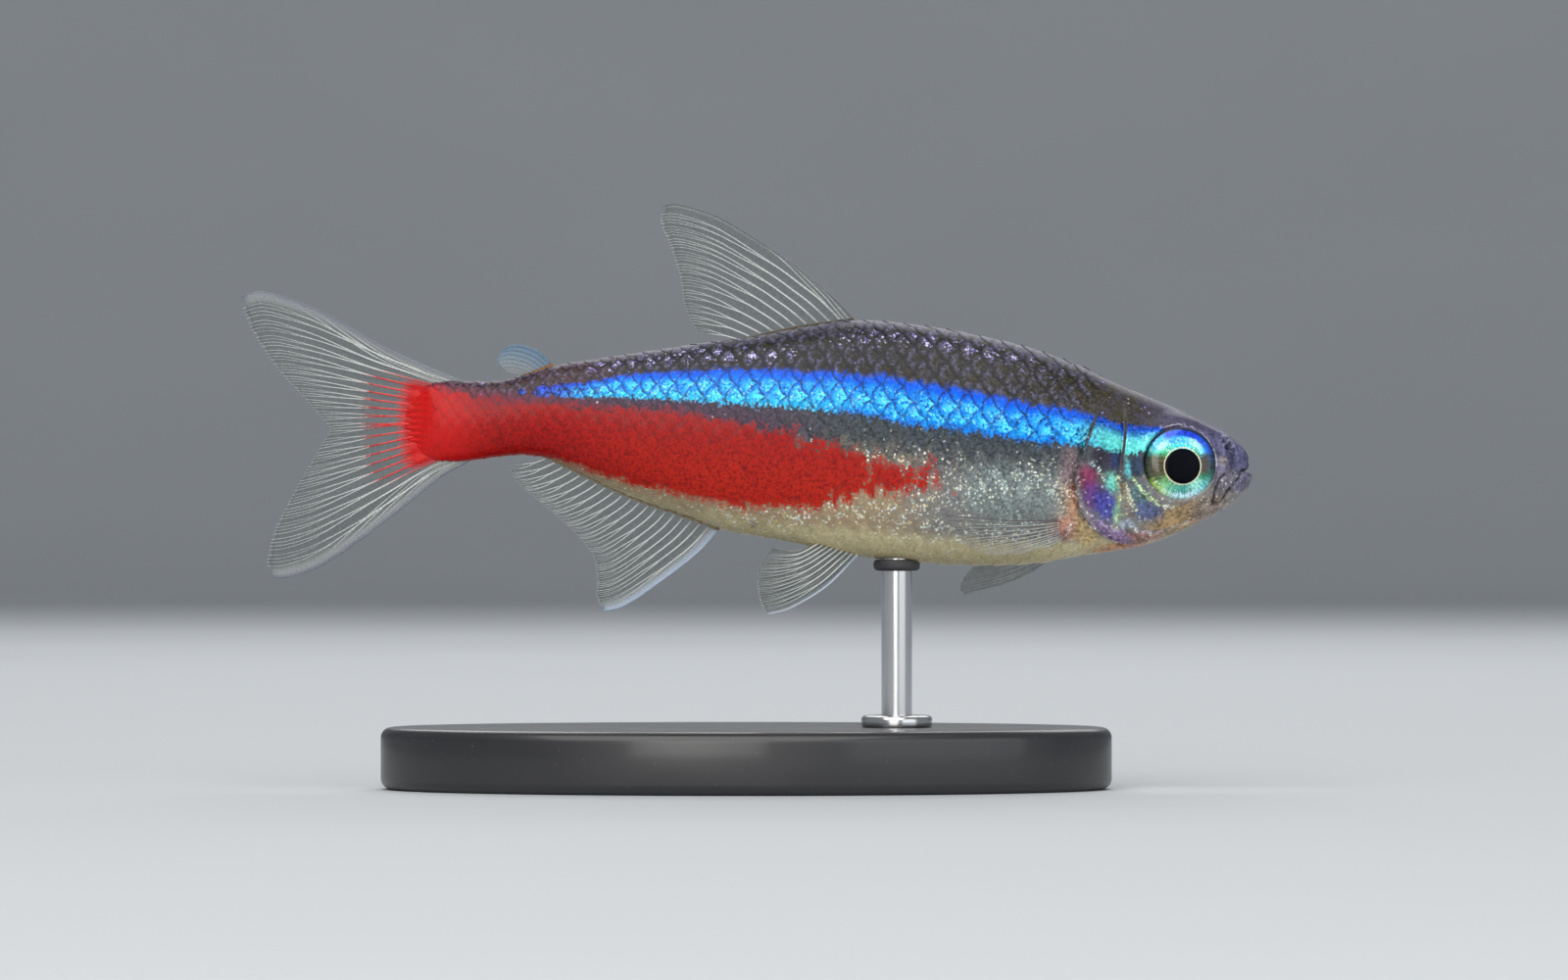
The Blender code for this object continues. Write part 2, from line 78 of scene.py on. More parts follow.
# The body from the end of the tail stem to the mouth:
# back x, back z, belly x, belly z, half width
STATIONS = (
    (-11.3, 14.42, -11.3, 11.68, 0.4), (-10.7, 14.52, -10.7, 11.62, 0.54),
    (-9.8, 14.52, -9.8, 11.66, 0.65), (-8.7, 14.55, -8.7, 11.8, 0.75),
    (-7.7, 14.78, -7.8, 11.84, 0.86), (-6.7, 15.1, -6.8, 11.66, 0.98),
    (-5.3, 15.32, -5.5, 11.02, 1.16), (-3.6, 15.58, -3.9, 10.3, 1.37),
    (-1.6, 15.88, -2.1, 9.68, 1.57), (0.2, 16.1, -0.7, 9.16, 1.72),
    (2.2, 16.48, 1.3, 8.8, 1.84), (4.0, 16.7, 3.7, 8.29, 1.93), (6.05, 16.54, 6.05, 8.04, 1.99),
    (8.2, 16.18, 8.3, 7.91, 2.01), (10.05, 15.74, 10.3, 7.99, 1.99),
    (11.75, 15.14, 12.05, 8.3, 1.94), (13.0, 14.57, 13.5, 8.48, 1.85),
    (14.25, 14.02, 14.8, 8.86, 1.71), (15.3, 13.57, 15.85, 9.3, 1.53),
    (16.15, 13.18, 16.65, 9.73, 1.31), (16.85, 12.82, 17.28, 10.12, 1.06),
    (17.37, 12.45, 17.68, 10.46, 0.81), (17.72, 12.09, 17.91, 10.78, 0.58),
    (17.89, 11.73, 18.0, 11.08, 0.4), (17.8, 11.5, 17.9, 11.27, 0.24),
    (17.66, 11.38, 17.66, 11.38, 0.02),
)
LAST_STATION = len(STATIONS) - 1
SQUARENESS = 2.25
WIDEST_LEVEL = 0.08
COAT_DEPTH = 0.055  # the skin lies this far inside the solids, under the scales
LAST_SCALE_X = 12.9

# Lines on the head
GILL_EDGE = line(
    12.52, 13.05, 12.14, 12.69, 11.95, 12.15, 11.83, 11.7, 11.7, 11.3, 11.64, 10.92, 11.68,
    10.54, 11.79, 10.08, 11.96, 9.67, 12.22, 9.33, 12.55, 9.05, 12.95, 8.83, 13.45, 8.67,
)
GILL_GAP = line(12.52, 13.5, 12.4, 13.3, 12.2, 12.75, 12.02, 12.25)
PREOPERCLE = line(
    13.42, 13.1, 13.39, 12.72, 13.34, 12.1, 13.24, 11.32, 13.2, 10.7, 13.24, 10.07, 13.3, 9.61,
    13.55, 9.12, 13.95, 8.86,
)
CHEEK_EDGE = line(13.42, 9.8, 13.64, 9.42, 13.98, 9.18, 14.44, 9.1, 15.28, 9.3, 16.1, 9.72)
OPERCLE_SEAM = line(12.09, 9.92, 12.5, 9.6, 13.05, 9.27)
UNDER_EYE_ARC = line(13.42, 11.7, 13.5, 10.98, 13.95, 10.45, 14.6, 10.08, 15.3, 9.98)
MOUTH_LINE = line(
    17.95, 11.36, 17.69, 11.32, 17.56, 11.16, 17.32, 10.84, 17.08, 10.58, 16.8, 10.16,
)
LIP_FOLD = line(16.98, 11.2, 16.8, 11.04, 16.68, 10.76, 16.6, 10.52, 16.54, 10.1)
NOSTRILS = ((17.12, 12.17, 0.125), (16.97, 12.38, 0.085))  # x, z, radius

SHOULDER, SHOULDER_SLOPE = 13.05, 0.42  # where the gill cover's edge runs on up the back
RED_END, RED_SLOPE = 6.1, 0.50  # where the red ends in front, and how sharply

# The eye
EYE_CENTRE = (15.35, 1.10, 11.52)
ORBIT = (15.35, 11.60)
ORBIT_RADIUS = 1.325
ORBIT_OUT = 1.47  # how far out its rim lies
EYE_YAW = math.radians(11.5)
EYE_PITCH = math.radians(5.0)
PUPIL_CENTRE = (15.44, 11.48)
EYEBALL_RADIUS, EYEBALL_DEPTH, EYEBALL_RISE = 1.36, 0.54, 0.07
LENS_OUT, LENS_SLOPE, LENS_DEPTH = 0.535, 0.2, 0.07

# The blue stripe, the round spots that it starts with (x, z, radius), and the red flank
STRIPE_TOP = line(
    -8.6, 14.22, -7.2, 14.34, -5.8, 14.5, -4.23, 14.74, -2.14, 14.86, -0.4, 14.92, 1.41, 14.88,
    3.19, 14.81, 4.97, 14.63, 6.75, 14.36, 8.53, 14.01, 10.3, 13.65, 11.85, 13.41, 12.79, 13.16,
    13.3, 12.93, 14.6, 12.88,
)
STRIPE_BOTTOM = line(
    -8.6, 13.98, -7.2, 13.94, -5.8, 13.9, -4.23, 13.9, -2.14, 13.84, -0.37, 13.65, 1.41, 13.56,
    2.92, 13.43, 4.08, 13.29, 5.41, 13.07, 7.64, 12.72, 9.41, 12.45, 10.75, 12.27, 12.12, 12.23,
    12.96, 11.98, 13.76, 11.92, 14.3, 12.16, 14.6, 12.3,
)
STRIPE_START = rows(
    3, -7.95, 14.12, 0.15, -7.19, 14.12, 0.27, -6.55, 14.14, 0.28, -5.95, 14.18, 0.31, -5.38,
    14.24, 0.35, -4.8, 14.3, 0.38, -4.2, 14.32, 0.4,
)
RED_TOP = line(
    -12.5, 14.36, -11.2, 14.26, -9.8, 13.98, -8.2, 13.76, -6.34, 13.68, -4.01, 13.5, -2.14,
    13.34, -0.37, 12.98, 1.41, 12.55, 2.75, 12.15, 4.08, 11.74, 5.41, 11.47, 6.9, 11.15,
)
RED_BOTTOM = line(
    -12.5, 11.45, -11.0, 11.4, -8.0, 11.5, -6.66, 11.7, -5.57, 11.28, -4.01, 10.81, -2.14,
    10.41, 0.08, 10.0, 1.41, 10.1, 2.66, 10.16, 4.08, 10.5, 5.15, 10.72, 6.9, 11.15,
)
CREAM_TOP = line(
    -8.0, 11.2, -5.0, 10.7, -2.1, 9.95, 1.4, 9.42, 5.0, 9.15, 8.0, 8.8, 10.5, 8.75, 13, 8.9,
)
# Lines along which the painted glints gather, on the back and on the flank
BACK_GLINTS = (
    line(-5.5, 14.98, -3.6, 15.25, -1.88, 15.5, -0.77, 15.42, 0.7, 15.43, 1.5, 15.5),
    line(
        3.19, 15.96, 4.08, 16.08, 5.33, 16.01, 6.3, 15.92, 7.28, 15.81, 8.08, 15.65, 9.5, 15.34,
        10.57, 15.03,
    ),
)
FLANK_GLINTS = (
    line(-0.6, 9.75, 1.4, 9.62, 3.5, 9.8, 5.2, 10.0, 6.8, 10.2),
    line(5.2, 9.45, 7.5, 9.1, 9.0, 8.95, 10.3, 9.0),
    line(4.2, 11.6, 6.2, 11.3, 8.5, 10.7, 10.4, 11.2, 11.2, 10.4),
)

# Tints in the side view: where (head, body or both), x, z, radius along x, radius along z,
# lean, colour, strength
TINTS = (
    ("head", 17.72, 10.98, 0.34, 0.26, 0.9, (0.085, 0.075, 0.13), 0.75),
    ("both", 11.95, 9.15, 0.75, 0.42, -0.65, (0.5, 0.33, 0.13), 0.75),
    ("body", 11.35, 10.1, 0.4, 1.1, 0.15, (0.26, 0.17, 0.11), 0.55),
    ("body", 11.2, 9.25, 0.55, 0.48, 0.0, (0.42, 0.2, 0.15), 0.75),
    ("body", 11.48, 11.35, 0.42, 0.95, 0.1, (0.22, 0.145, 0.165), 0.75),
    ("body", 11.52, 10.1, 0.26, 0.75, 0.1, (0.48, 0.25, 0.14), 0.7),
    ("body", 9.3, 10.4, 2.0, 1.15, -0.1, (0.2, 0.27, 0.27), 0.55),
    ("body", 0.3, 9.42, 0.28, 0.12, 0.0, (0.04, 0.04, 0.05), 0.8),
    ("head", 15.35, 9.62, 1.45, 0.52, 0.38, (0.36, 0.235, 0.105), 0.85),
    ("head", 13.45, 8.84, 1.35, 0.3, 0.12, (0.36, 0.17, 0.16), 0.85),
    ("both", 13.3, 8.56, 1.2, 0.17, 0.1, (0.42, 0.16, 0.08), 0.75),
    ("head", 16.45, 10.0, 0.9, 0.5, 0.75, (0.24, 0.19, 0.165), 0.85),
    ("head", 17.0, 11.9, 1.35, 1.05, -0.3, (0.095, 0.092, 0.18), 0.95),
    ("head", 17.0, 10.95, 0.55, 0.5, 0.9, (0.16, 0.14, 0.18), 0.85),
    ("head", 17.6, 10.85, 0.4, 0.34, 0.9, (0.13, 0.12, 0.19), 0.85),
    ("head", 16.86, 11.66, 0.22, 0.2, 0.0, (0.24, 0.21, 0.18), 0.7),
    ("head", 12.9, 9.1, 1.0, 0.36, -0.5, (0.24, 0.17, 0.34), 0.85),
    ("head", 12.65, 11.8, 0.62, 0.5, 0.0, (0.028, 0.024, 0.05), 0.92),
    ("head", 13.05, 11.75, 0.14, 0.42, 0.0, (0.015, 0.045, 0.2), 0.75),
    ("head", 12.07, 11.05, 0.44, 0.5, 0.0, (0.17, 0.018, 0.065), 0.92),
    ("head", 12.32, 10.4, 0.52, 0.56, 0.3, (0.1, 0.028, 0.18), 0.9),
    ("head", 12.72, 10.1, 0.46, 0.62, 0.25, (0.06, 0.065, 0.36), 0.9),
    ("head", 12.94, 10.88, 0.3, 0.38, 0.3, (0.14, 0.52, 0.44), 0.9),
    ("head", 13.12, 9.85, 0.16, 0.55, -0.1, (0.2, 0.42, 0.3), 0.8),
    ("head", 13.84, 11.5, 0.36, 0.46, 0.0, (0.018, 0.04, 0.08), 0.9),
    ("head", 13.9, 10.45, 0.36, 0.5, 0.5, (0.075, 0.15, 0.17), 0.85),
    ("head", 14.2, 9.88, 0.62, 0.38, -0.1, (0.09, 0.12, 0.27), 0.85),
    ("head", 13.5, 11.4, 0.12, 0.36, 0.1, (0.1, 0.46, 0.5), 0.85),
    ("head", 13.48, 9.42, 0.3, 0.18, 0.0, (0.42, 0.5, 0.6), 0.7),
)
# Fine lines: where, half width, colour, strength, share of painted glints, points; some lines are
# painted shade in grooves and slits, or painted highlights on rims
STROKES = (
    # Painted shade along the preopercle's groove
    ("head", 0.055, (0.05, 0.038, 0.05), 0.9, 0.0,
     line(13.44, 13.0, 13.38, 12.3, 13.31, 11.7, 13.24, 11.2, 13.28, 10.8)),
    ("head", 0.075, (0.24, 0.17, 0.105), 0.85, 0.1,
     line(13.3, 10.8, 13.36, 10.4, 13.47, 10.05, 13.74, 9.67)),
    ("head", 0.035, (0.66, 0.7, 0.34), 0.9, 0.3,
     line(13.12, 11.1, 13.21, 10.6, 13.21, 10.05, 13.1, 9.5, 13.02, 9.27)),
    ("head", 0.03, (0.52, 0.42, 0.56), 0.85, 0.2,
     line(11.78, 10.12, 12.21, 9.68, 12.65, 9.39, 13.02, 9.26)),
    ("head", 0.04, (0.5, 0.86, 0.84), 0.75, 0.9,
     line(12.21, 11.58, 12.45, 11.36, 12.61, 11.18, 12.66, 10.87)),
    ("head", 0.05, (0.5, 0.78, 0.22), 0.65, 0.95,
     line(13.67, 11.05, 13.9, 10.74, 14.12, 10.47, 14.39, 10.25, 14.65, 10.07)),
    ("head", 0.045, (0.5, 0.5, 0.4), 0.6, 0.7, line(14.65, 10.07, 14.9, 10.03, 15.2, 10.03)),
    ("head", 0.04, (0.62, 0.62, 0.36), 0.65, 0.9,
     line(13.4, 10.92, 13.49, 10.52, 13.66, 10.12, 13.78, 9.9)),
    ("head", 0.04, (0.42, 0.48, 0.54), 0.7, 0.2,
     line(13.5, 9.42, 13.94, 9.16, 14.47, 9.11, 15.1, 9.25, 15.7, 9.5)),
    # Painted highlight along the gill cover's lower rear rim
    ("head", 0.04, (0.56, 0.58, 0.52), 0.8, 0.4,
     line(11.8, 9.95, 11.97, 9.62, 12.14, 9.4, 12.42, 9.14)),
    # Painted highlight along the orbit's upper and front rim
    ("head", 0.03, (0.5, 0.48, 0.62), 0.75, 0.0,
     line(14.6, 12.85, 15.2, 12.96, 15.8, 12.86, 16.3, 12.5, 16.6, 12.0, 16.66, 11.5)),
    ("head", 0.03, (0.42, 0.42, 0.5), 0.7, 0.0,
     line(17.66, 11.27, 17.52, 11.1, 17.28, 10.8, 17.03, 10.54, 16.76, 10.14)),
    # Painted shade in the lip's fold
    ("head", 0.042, (0.02, 0.018, 0.03), 1.0, 0.0, LIP_FOLD),
    # Painted shade in the mouth's slit
    ("head", 0.042, (0.022, 0.018, 0.032), 1.0, 0.0,
     line(17.66, 11.3, 17.44, 11.03, 17.2, 10.72, 16.95, 10.42, 16.84, 10.2)),
    # The gill's slit: the red of the gills within, darkened as painted shade
    ("body", 0.055, (0.2, 0.015, 0.008), 0.9, 0.0,
     line(11.585, 10.75, 11.59, 10.45, 11.66, 10.15, 11.76, 9.98)),
    # A painted glint at the pectoral fin's base
    ("body", 0.04, (0.5, 0.5, 0.58), 0.5, 0.6, line(11.52, 9.5, 11.44, 9.2, 11.2, 8.95)),
)

# Colours round the iris, from the rear by the bottom, the front and the top, as the share of
# the way round with red, green and blue: the outer, the middle and the inner ring
IRIS_RINGS = (
    rows(
        4, 0.0, 0.05, 0.058, 0.038, 0.05, 0.06, 0.075, 0.04, 0.09, 0.4, 0.62, 0.1, 0.14, 0.55,
        0.85, 0.4, 0.21, 0.5, 0.84, 0.92, 0.29, 0.56, 0.86, 0.95, 0.38, 0.16, 0.66, 0.68, 0.44,
        0.02, 0.2, 0.15, 0.49, 0.03, 0.05, 0.05, 0.56, 0.015, 0.05, 0.14, 0.6, 0.0, 0.12, 0.8,
        0.7, 0.01, 0.05, 0.66, 0.82, 0.01, 0.08, 0.74, 0.88, 0.02, 0.4, 0.8, 0.93, 0.02, 0.34,
        0.32, 0.96, 0.05, 0.07, 0.045, 1.0, 0.05, 0.058, 0.038,
    ),
    rows(
        4, 0.0, 0.06, 0.052, 0.03, 0.06, 0.07, 0.068, 0.03, 0.12, 0.2, 0.5, 0.2, 0.18, 0.1,
        0.46, 0.32, 0.26, 0.03, 0.26, 0.24, 0.35, 0.3, 0.8, 0.66, 0.42, 0.03, 0.26, 0.12, 0.46,
        0.045, 0.04, 0.03, 0.56, 0.042, 0.04, 0.036, 0.6, 0.03, 0.52, 0.72, 0.66, 0.5, 1.0,
        0.98, 0.73, 0.03, 0.5, 0.92, 0.82, 0.02, 0.3, 0.9, 0.87, 0.4, 0.95, 0.98, 0.92, 0.02,
        0.42, 0.3, 0.95, 0.06, 0.06, 0.032, 1.0, 0.06, 0.052, 0.03,
    ),
    rows(
        4, 0.0, 0.075, 0.062, 0.034, 0.06, 0.085, 0.085, 0.036, 0.12, 0.1, 0.34, 0.09, 0.2,
        0.12, 0.46, 0.3, 0.27, 0.05, 0.34, 0.3, 0.36, 0.2, 0.66, 0.48, 0.42, 0.02, 0.22, 0.07,
        0.46, 0.05, 0.045, 0.032, 0.56, 0.045, 0.05, 0.032, 0.61, 0.02, 0.4, 0.2, 0.68, 0.05,
        0.72, 0.62, 0.76, 0.03, 0.6, 0.8, 0.84, 0.05, 0.7, 0.52, 0.9, 0.03, 0.42, 0.16, 0.94,
        0.07, 0.08, 0.036, 1.0, 0.075, 0.062, 0.034,
    ),
)

BLACK = (0.0, 0.0, 0.0)
# Colours of the flank's painted glints, as the share of them with red, green and blue
WARM_GLINTS = rows(
    4, 0.0, 0.95, 0.66, 0.26, 0.3, 0.95, 0.86, 0.55, 0.45, 0.6, 0.85, 0.6,
    0.55, 0.55, 0.75, 0.85, 0.75, 1.0, 0.95, 0.82, 1.0, 0.88, 0.86, 0.88,
)

# Fins in the side view: the root's places along the body (x, or x and z for the tail fin),
# then the points (x, z) out along the leading edge to the tip, down the margin, and out along
# the trailing edge
DORSAL_FIN = {
    "root": (3.95, 2.2, -0.1),
    "leading": line(
        3.06, 17.5, 2.23, 18.2, 1.39, 18.86, -0.28, 19.94, -1.11, 20.39, -1.94, 20.67, -2.55,
        20.8, -2.97, 20.74,
    ),
    "margin": line(-3.05, 20.14, -2.66, 19.14, -2.34, 18.1, -2.2, 17.2),
    "trailing": line(-0.9, 16.12, -1.74, 16.24),
}
ADIPOSE_FIN = {
    "root": (-6.75, -7.35, -7.8),
    "leading": line(-7.3, 15.52, -7.95, 15.78, -8.35, 15.78, -8.7, 15.6),
    "margin": line(-8.9, 15.3, -8.8, 15.02),
    "trailing": line(-8.15, 14.76, -8.5, 14.84),
}
ANAL_FIN = {
    "root": (-0.85, -2.2, -3.9, -5.5, -6.95),
    "leading": line(-1.6, 8.5, -2.47, 7.78, -3.34, 7.14, -3.91, 6.74, -4.49, 6.43, -5.07, 6.32),
    "margin": line(-5.33, 6.8, -5.32, 7.6, -5.56, 8.47, -6.51, 9.51, -7.55, 10.38, -8.2, 10.98),
    "trailing": line(-7.75, 11.58, -8.42, 11.5),
}
TAIL_UPPER = {
    "root": line(-9.95, 14.42, -10.6, 14.4, -11.02, 14.22, -11.16, 13.75, -11.2, 13.05),
    "leading": line(
        -10.3, 14.58, -10.8, 14.77, -11.4, 15.04, -12.1, 15.35, -12.97, 15.77, -14.08, 16.41,
        -15.19, 17.02, -16.3, 17.46, -17.3, 17.72, -18.0, 17.48,
    ),
    "margin": line(-17.84, 16.9, -17.5, 16.15, -16.69, 14.96, -15.69, 13.88),
    "trailing": line(-13.2, 12.92, -14.76, 12.81),
}
TAIL_LOWER = {
    "root": line(-9.7, 11.75, -10.4, 11.74, -11.02, 11.86, -11.16, 12.35, -11.2, 13.05),
    "leading": line(
        -10.0, 11.55, -10.4, 11.35, -10.8, 11.11, -11.3, 10.74, -12.13, 10.06, -13.8, 8.78,
        -15.19, 7.88, -16.3, 7.52, -16.95, 7.52,
    ),
    "margin": line(-17.05, 8.1, -16.8, 9.14, -16.2, 10.35, -15.45, 11.65),
    "trailing": line(-13.2, 12.92, -14.76, 12.81),
}
# Paired fins (x, y, z), as they lie on the right: y is the distance out from the middle. A
# root has x and z on the flank, or x and y under the belly
PECTORAL_RIGHT = {
    "root": line(11.3, 9.56, 11.4, 9.27, 11.44, 8.94),
    "leading": rows(3, 9.6, 2.48, 9.55, 7.05, 2.9, 9.74),
    "margin": rows(3, 7.35, 2.76, 8.96, 8.3, 2.48, 8.38),
    "trailing": rows(3, 10.65, 1.92, 8.66, 9.8, 2.1, 8.36),
}
PECTORAL_LEFT = {
    "root": line(11.44, 8.94, 11.4, 9.27, 11.3, 9.56),
    "leading": rows(3, 10.52, 2.24, 7.86, 9.25, 2.76, 7.22, 7.8, 3.2, 6.84),
    "margin": rows(3, 7.62, 3.24, 7.14, 8.0, 3.22, 7.76),
    "trailing": rows(3, 10.2, 2.56, 8.95, 9.0, 3.1, 8.56),
}
PELVIC_RIGHT = {
    "root": line(4.1, 0.48, 3.35, 0.56, 2.7, 0.62),
    "leading": rows(3, 3.1, 0.8, 7.42, 2.37, 1.02, 6.87, 1.47, 1.26, 6.38, 0.74, 1.42, 6.2),
    "margin": rows(3, 0.5, 1.38, 6.7, 0.44, 1.26, 7.6),
    "trailing": rows(3, 1.8, 0.84, 8.36, 0.9, 1.04, 8.42),
}
PELVIC_LEFT_SWING = math.radians(2.5)
FIN_ROOT_SINK = 0.16  # how deep a fin's root is sunk in the body
PLEAT_DEPTH = 0.022
TAIL_TINT = (0.74, 0.005, 0.003)

PHOTO_WIDTH, PHOTO_PIXEL = 1600, 0.03485  # the photograph's width, and its pixel at the fish
CAMERA_DISTANCE = 0.30  # in metres, like the places of the lights
SENSOR_WIDTH = 36.0
PHOTO_MIDDLE = (1.342, 10.63)  # the point of the side view in the photograph's middle

# The floor in metres: its width, its middle (0.01 mm lower than the stand's underside), how
# high it runs up behind, and the radius of the curve between
FLOOR_WIDTH, FLOOR_MIDDLE = 2.4, (0, -0.40, -0.00001)
WALL_HEIGHT, WALL_CURVE = 1.0, 0.30


def length(name, description, default):
    """A length, with its default in millimetres."""
    return FloatProperty(
        name=name, description=description, default=default * MM, unit="LENGTH"
    )


def count(name, description, default):
    return IntProperty(name=name, description=description, default=default)


def colour_property(name, description, default):
    return FloatVectorProperty(
        name=name, description=description, default=default, subtype="COLOR", min=0.0, max=1.0
    )


class TetraSizes(PropertyGroup):
    """Sizes of the fish's coat, eyes and fins."""

    scale_pitch: length("Scale pitch", "From one scale to the next along a row", 0.80)
    scale_row: length("Row spacing", "From one row of scales to the next, round the body", 0.55)
    iris_radius: length("Iris radius", "Radius of the shining ring and pupil together", 1.262)
    pupil_radius: length("Pupil radius", "Radius of the black pupil", 0.63327)
    ray_width: length("Ray width", "Width of a fin ray at its root", 0.080)
    membrane: length("Membrane thickness", "Thickness of the clear skin between the rays", 0.035)
    dorsal_rays: count("Dorsal rays", "Rays of the dorsal fin", 11)
    anal_rays: count("Anal rays", "Rays of the anal fin", 21)
    tail_rays: count("Tail rays", "Rays of each half of the tail fin", 11)
    paired_rays: count("Paired fin rays", "Rays of each paired fin", 9)


class TetraColours(PropertyGroup):
    """Colours of the fish."""

    back: colour_property("Back", "Olive brown of the back", (0.040, 0.034, 0.017))
    crown: colour_property("Crown", "Slate lavender of the snout and crown", (0.070, 0.062, 0.105))
    flank: colour_property("Flank", "Teal grey under the stripe", (0.050, 0.064, 0.074))
    silver: colour_property("Silver", "Silver of the lower flank", (0.235, 0.232, 0.222))
    belly: colour_property("Belly", "Cream of the belly's edge", (0.64, 0.55, 0.33))
    band: colour_property("Band", "Purple grey between blue and red", (0.066, 0.034, 0.066))
    stripe_top: colour_property("Stripe top", "Deep blue upper edge", (0.0, 0.095, 0.76))
    stripe_middle: colour_property("Stripe middle", "Electric blue", (0.0, 0.22, 0.95))
    stripe_low: colour_property("Stripe low", "Cyan lower half", (0.0, 0.40, 0.80))
    # Stripe glint is the colour of the painted glints in the middle of the stripe's scales
    stripe_glint: colour_property("Stripe glint", "Brightest grains", (0.12, 0.88, 1.0))
    red_deep: colour_property("Deep red", "Darker grains of the red", (0.21, 0.001, 0.001))
    red_bright: colour_property("Bright red", "Brighter grains of the red", (0.43, 0.003, 0.001))
    ray: colour_property("Fin ray", "Pale bone of the fin rays", (0.82, 0.84, 0.82))
    membrane: colour_property("Membrane", "Clear skin of the fins", (0.095, 0.115, 0.110))


class TetraStand(PropertyGroup):
    """Sizes and colours of the display stand and the stage."""

    base_length: length("Base length", "Length of the oval base", 26.0)
    base_width: length("Base width", "Width of the oval base", 14.0)
    base_height: length("Base height", "Height of the oval base", 2.2)
    rod_radius: length("Rod radius", "Radius of the rod", 0.55)
    base_colour: colour_property("Base", "Black satin of the base", (0.018, 0.018, 0.020))
    floor_colour: colour_property("Floor", "Pale floor of the stage", (0.56, 0.58, 0.60))


# Shapes shared by the pieces


def ease(low, high, value):
    t = np.clip((value - low) / (high - low), 0.0, 1.0)
    return t * t * (3 - 2 * t)


def hump(distance, width):
    return np.exp(-((distance / width) ** 2))


def between(rows, place):
    """Smooth values at places counted along a table of rows, through each row."""
    rows = np.asarray(rows, float)
    place = np.asarray(place, float)
    last = len(rows) - 1
    first = np.clip(place.astype(int), 0, last - 1)
    t = (place - first)[..., None]
    a, b, c, d = (rows[np.clip(first + step, 0, last)] for step in (-1, 0, 1, 2))
    return b + t / 2 * (c - a + t * (2 * a - 5 * b + 4 * c - d + t * (3 * (b - c) + d - a)))


def body_point(place, around):
    """The solids' surface at a place along the stations and an angle round them."""
    rows = np.moveaxis(between(STATIONS, place), -1, 0)
    back_x, back_z, belly_x, belly_z, half_width = rows
    side, rise = np.cos(around), np.sin(around)
    out = np.sign(side) * np.abs(side) ** (2 / SQUARENESS)
    up = np.sign(rise) * np.abs(rise) ** (2 / SQUARENESS)
    up = up + WIDEST_LEVEL * (1 - up * up)
    x = (back_x + belly_x) / 2 + (back_x - belly_x) / 2 * up
    z = (back_z + belly_z) / 2 + (back_z - belly_z) / 2 * up
    return np.stack((x, out * half_width, z), -1)


def unit(vectors):
    return vectors / np.maximum(np.linalg.norm(vectors, axis=-1, keepdims=True), 1e-9)


def body_surface(place, around):
    """Points of the solids' surface with their outward normals."""
    place, around = np.broadcast_arrays(place, around)
    ahead = body_point(np.minimum(place + 0.02, LAST_STATION), around)
    behind = body_point(np.maximum(place - 0.02, 0), around)
    turned = body_point(place, around + 0.01) - body_point(place, around - 0.01)
    return body_point(place, around), unit(np.cross(turned, ahead - behind))


def line_distance(x, z, line):
    """How far places of the side view are from a line of points."""
    nearest = np.full(np.shape(x), np.inf)
    for (ax, az), (bx, bz) in zip(line, line[1:]):
        length = (bx - ax) ** 2 + (bz - az) ** 2
        share = np.clip(((x - ax) * (bx - ax) + (z - az) * (bz - az)) / length, 0.0, 1.0)
        reach = np.hypot(x - ax - share * (bx - ax), z - az - share * (bz - az))
        nearest = np.minimum(nearest, reach)
    return nearest


def line_height(x, line):
    """The height of a line of the side view over a place along the body."""
    xs, zs = np.array(line).T
    return np.interp(x, xs, zs)


def behind_line(x, z, line):
    """How far places of the side view lie behind an upright line, measured along the body."""
    xs, zs = np.array(sorted(line, key=lambda p: p[1])).T
    return np.interp(z, zs, xs) - x


def travelled(points):
    """How far along a line of points each of them lies."""
    return np.concatenate(([0.0], np.cumsum(np.linalg.norm(np.diff(points, axis=0), axis=1))))


def dense(points):
    """Close-set points of a smooth curve through some points, and their shares of the way."""
    fine = between(points, np.linspace(0, len(points) - 1, 40 * len(points)))
    reach = travelled(fine)
    return fine, reach / reach[-1]


def follow(curve, share):
    """Points at shares of the way along a curve made dense."""
    fine, reach = curve
    return np.stack([np.interp(share, reach, column) for column in fine.T], -1)


def keep_values(mesh, values):
    """Keeps numbers and colours for the points of a mesh as attributes."""
    for key, data in values.items():
        data = np.asarray(data, np.float32)
        kind, field = ("FLOAT_COLOR", "color") if data.ndim == 2 else ("FLOAT", "value")
        mesh.attributes.new(key, kind, "POINT").data.foreach_set(field, data.ravel())


def new_piece(name, points, faces, values):
    """An object made of points in millimetres, with values kept as attributes."""
    mesh = bpy.data.meshes.new(name)
    mesh.from_pydata((points * MM).tolist(), [], [list(f) for f in faces])
    keep_values(mesh, values)
    obj = bpy.data.objects.new(name, mesh)
    bpy.context.scene.collection.objects.link(obj)
    face_outwards(obj)
    mesh.shade_smooth()
    return obj


def face_outwards(obj):
    bm = bmesh.new()
    bm.from_mesh(obj.data)
    bmesh.ops.recalc_face_normals(bm, faces=bm.faces)
    bm.to_mesh(obj.data)
    bm.free()


def add_ball(name, segments, rings):
    """A ball and its points, to be reshaped."""
    bpy.ops.object.select_all(action="DESELECT")
    bpy.ops.mesh.primitive_uv_sphere_add(segments=segments, ring_count=rings, radius=1.0)
    ball = bpy.context.object
    ball.name = name
    return ball, np.array([v.co[:] for v in ball.data.vertices])


def reshape(ball, points):
    """Moves the points of a ball to new places in millimetres."""
    ball.data.vertices.foreach_set("co", (points * MM).ravel())
    face_outwards(ball)
    ball.data.shade_smooth()


def grid_faces(rows, columns):
    index = np.arange(rows * columns).reshape(rows, columns)
    corners = (index[:-1, :-1], index[:-1, 1:], index[1:, 1:], index[1:, :-1])
    return np.stack(corners, -1).reshape(-1, 4)


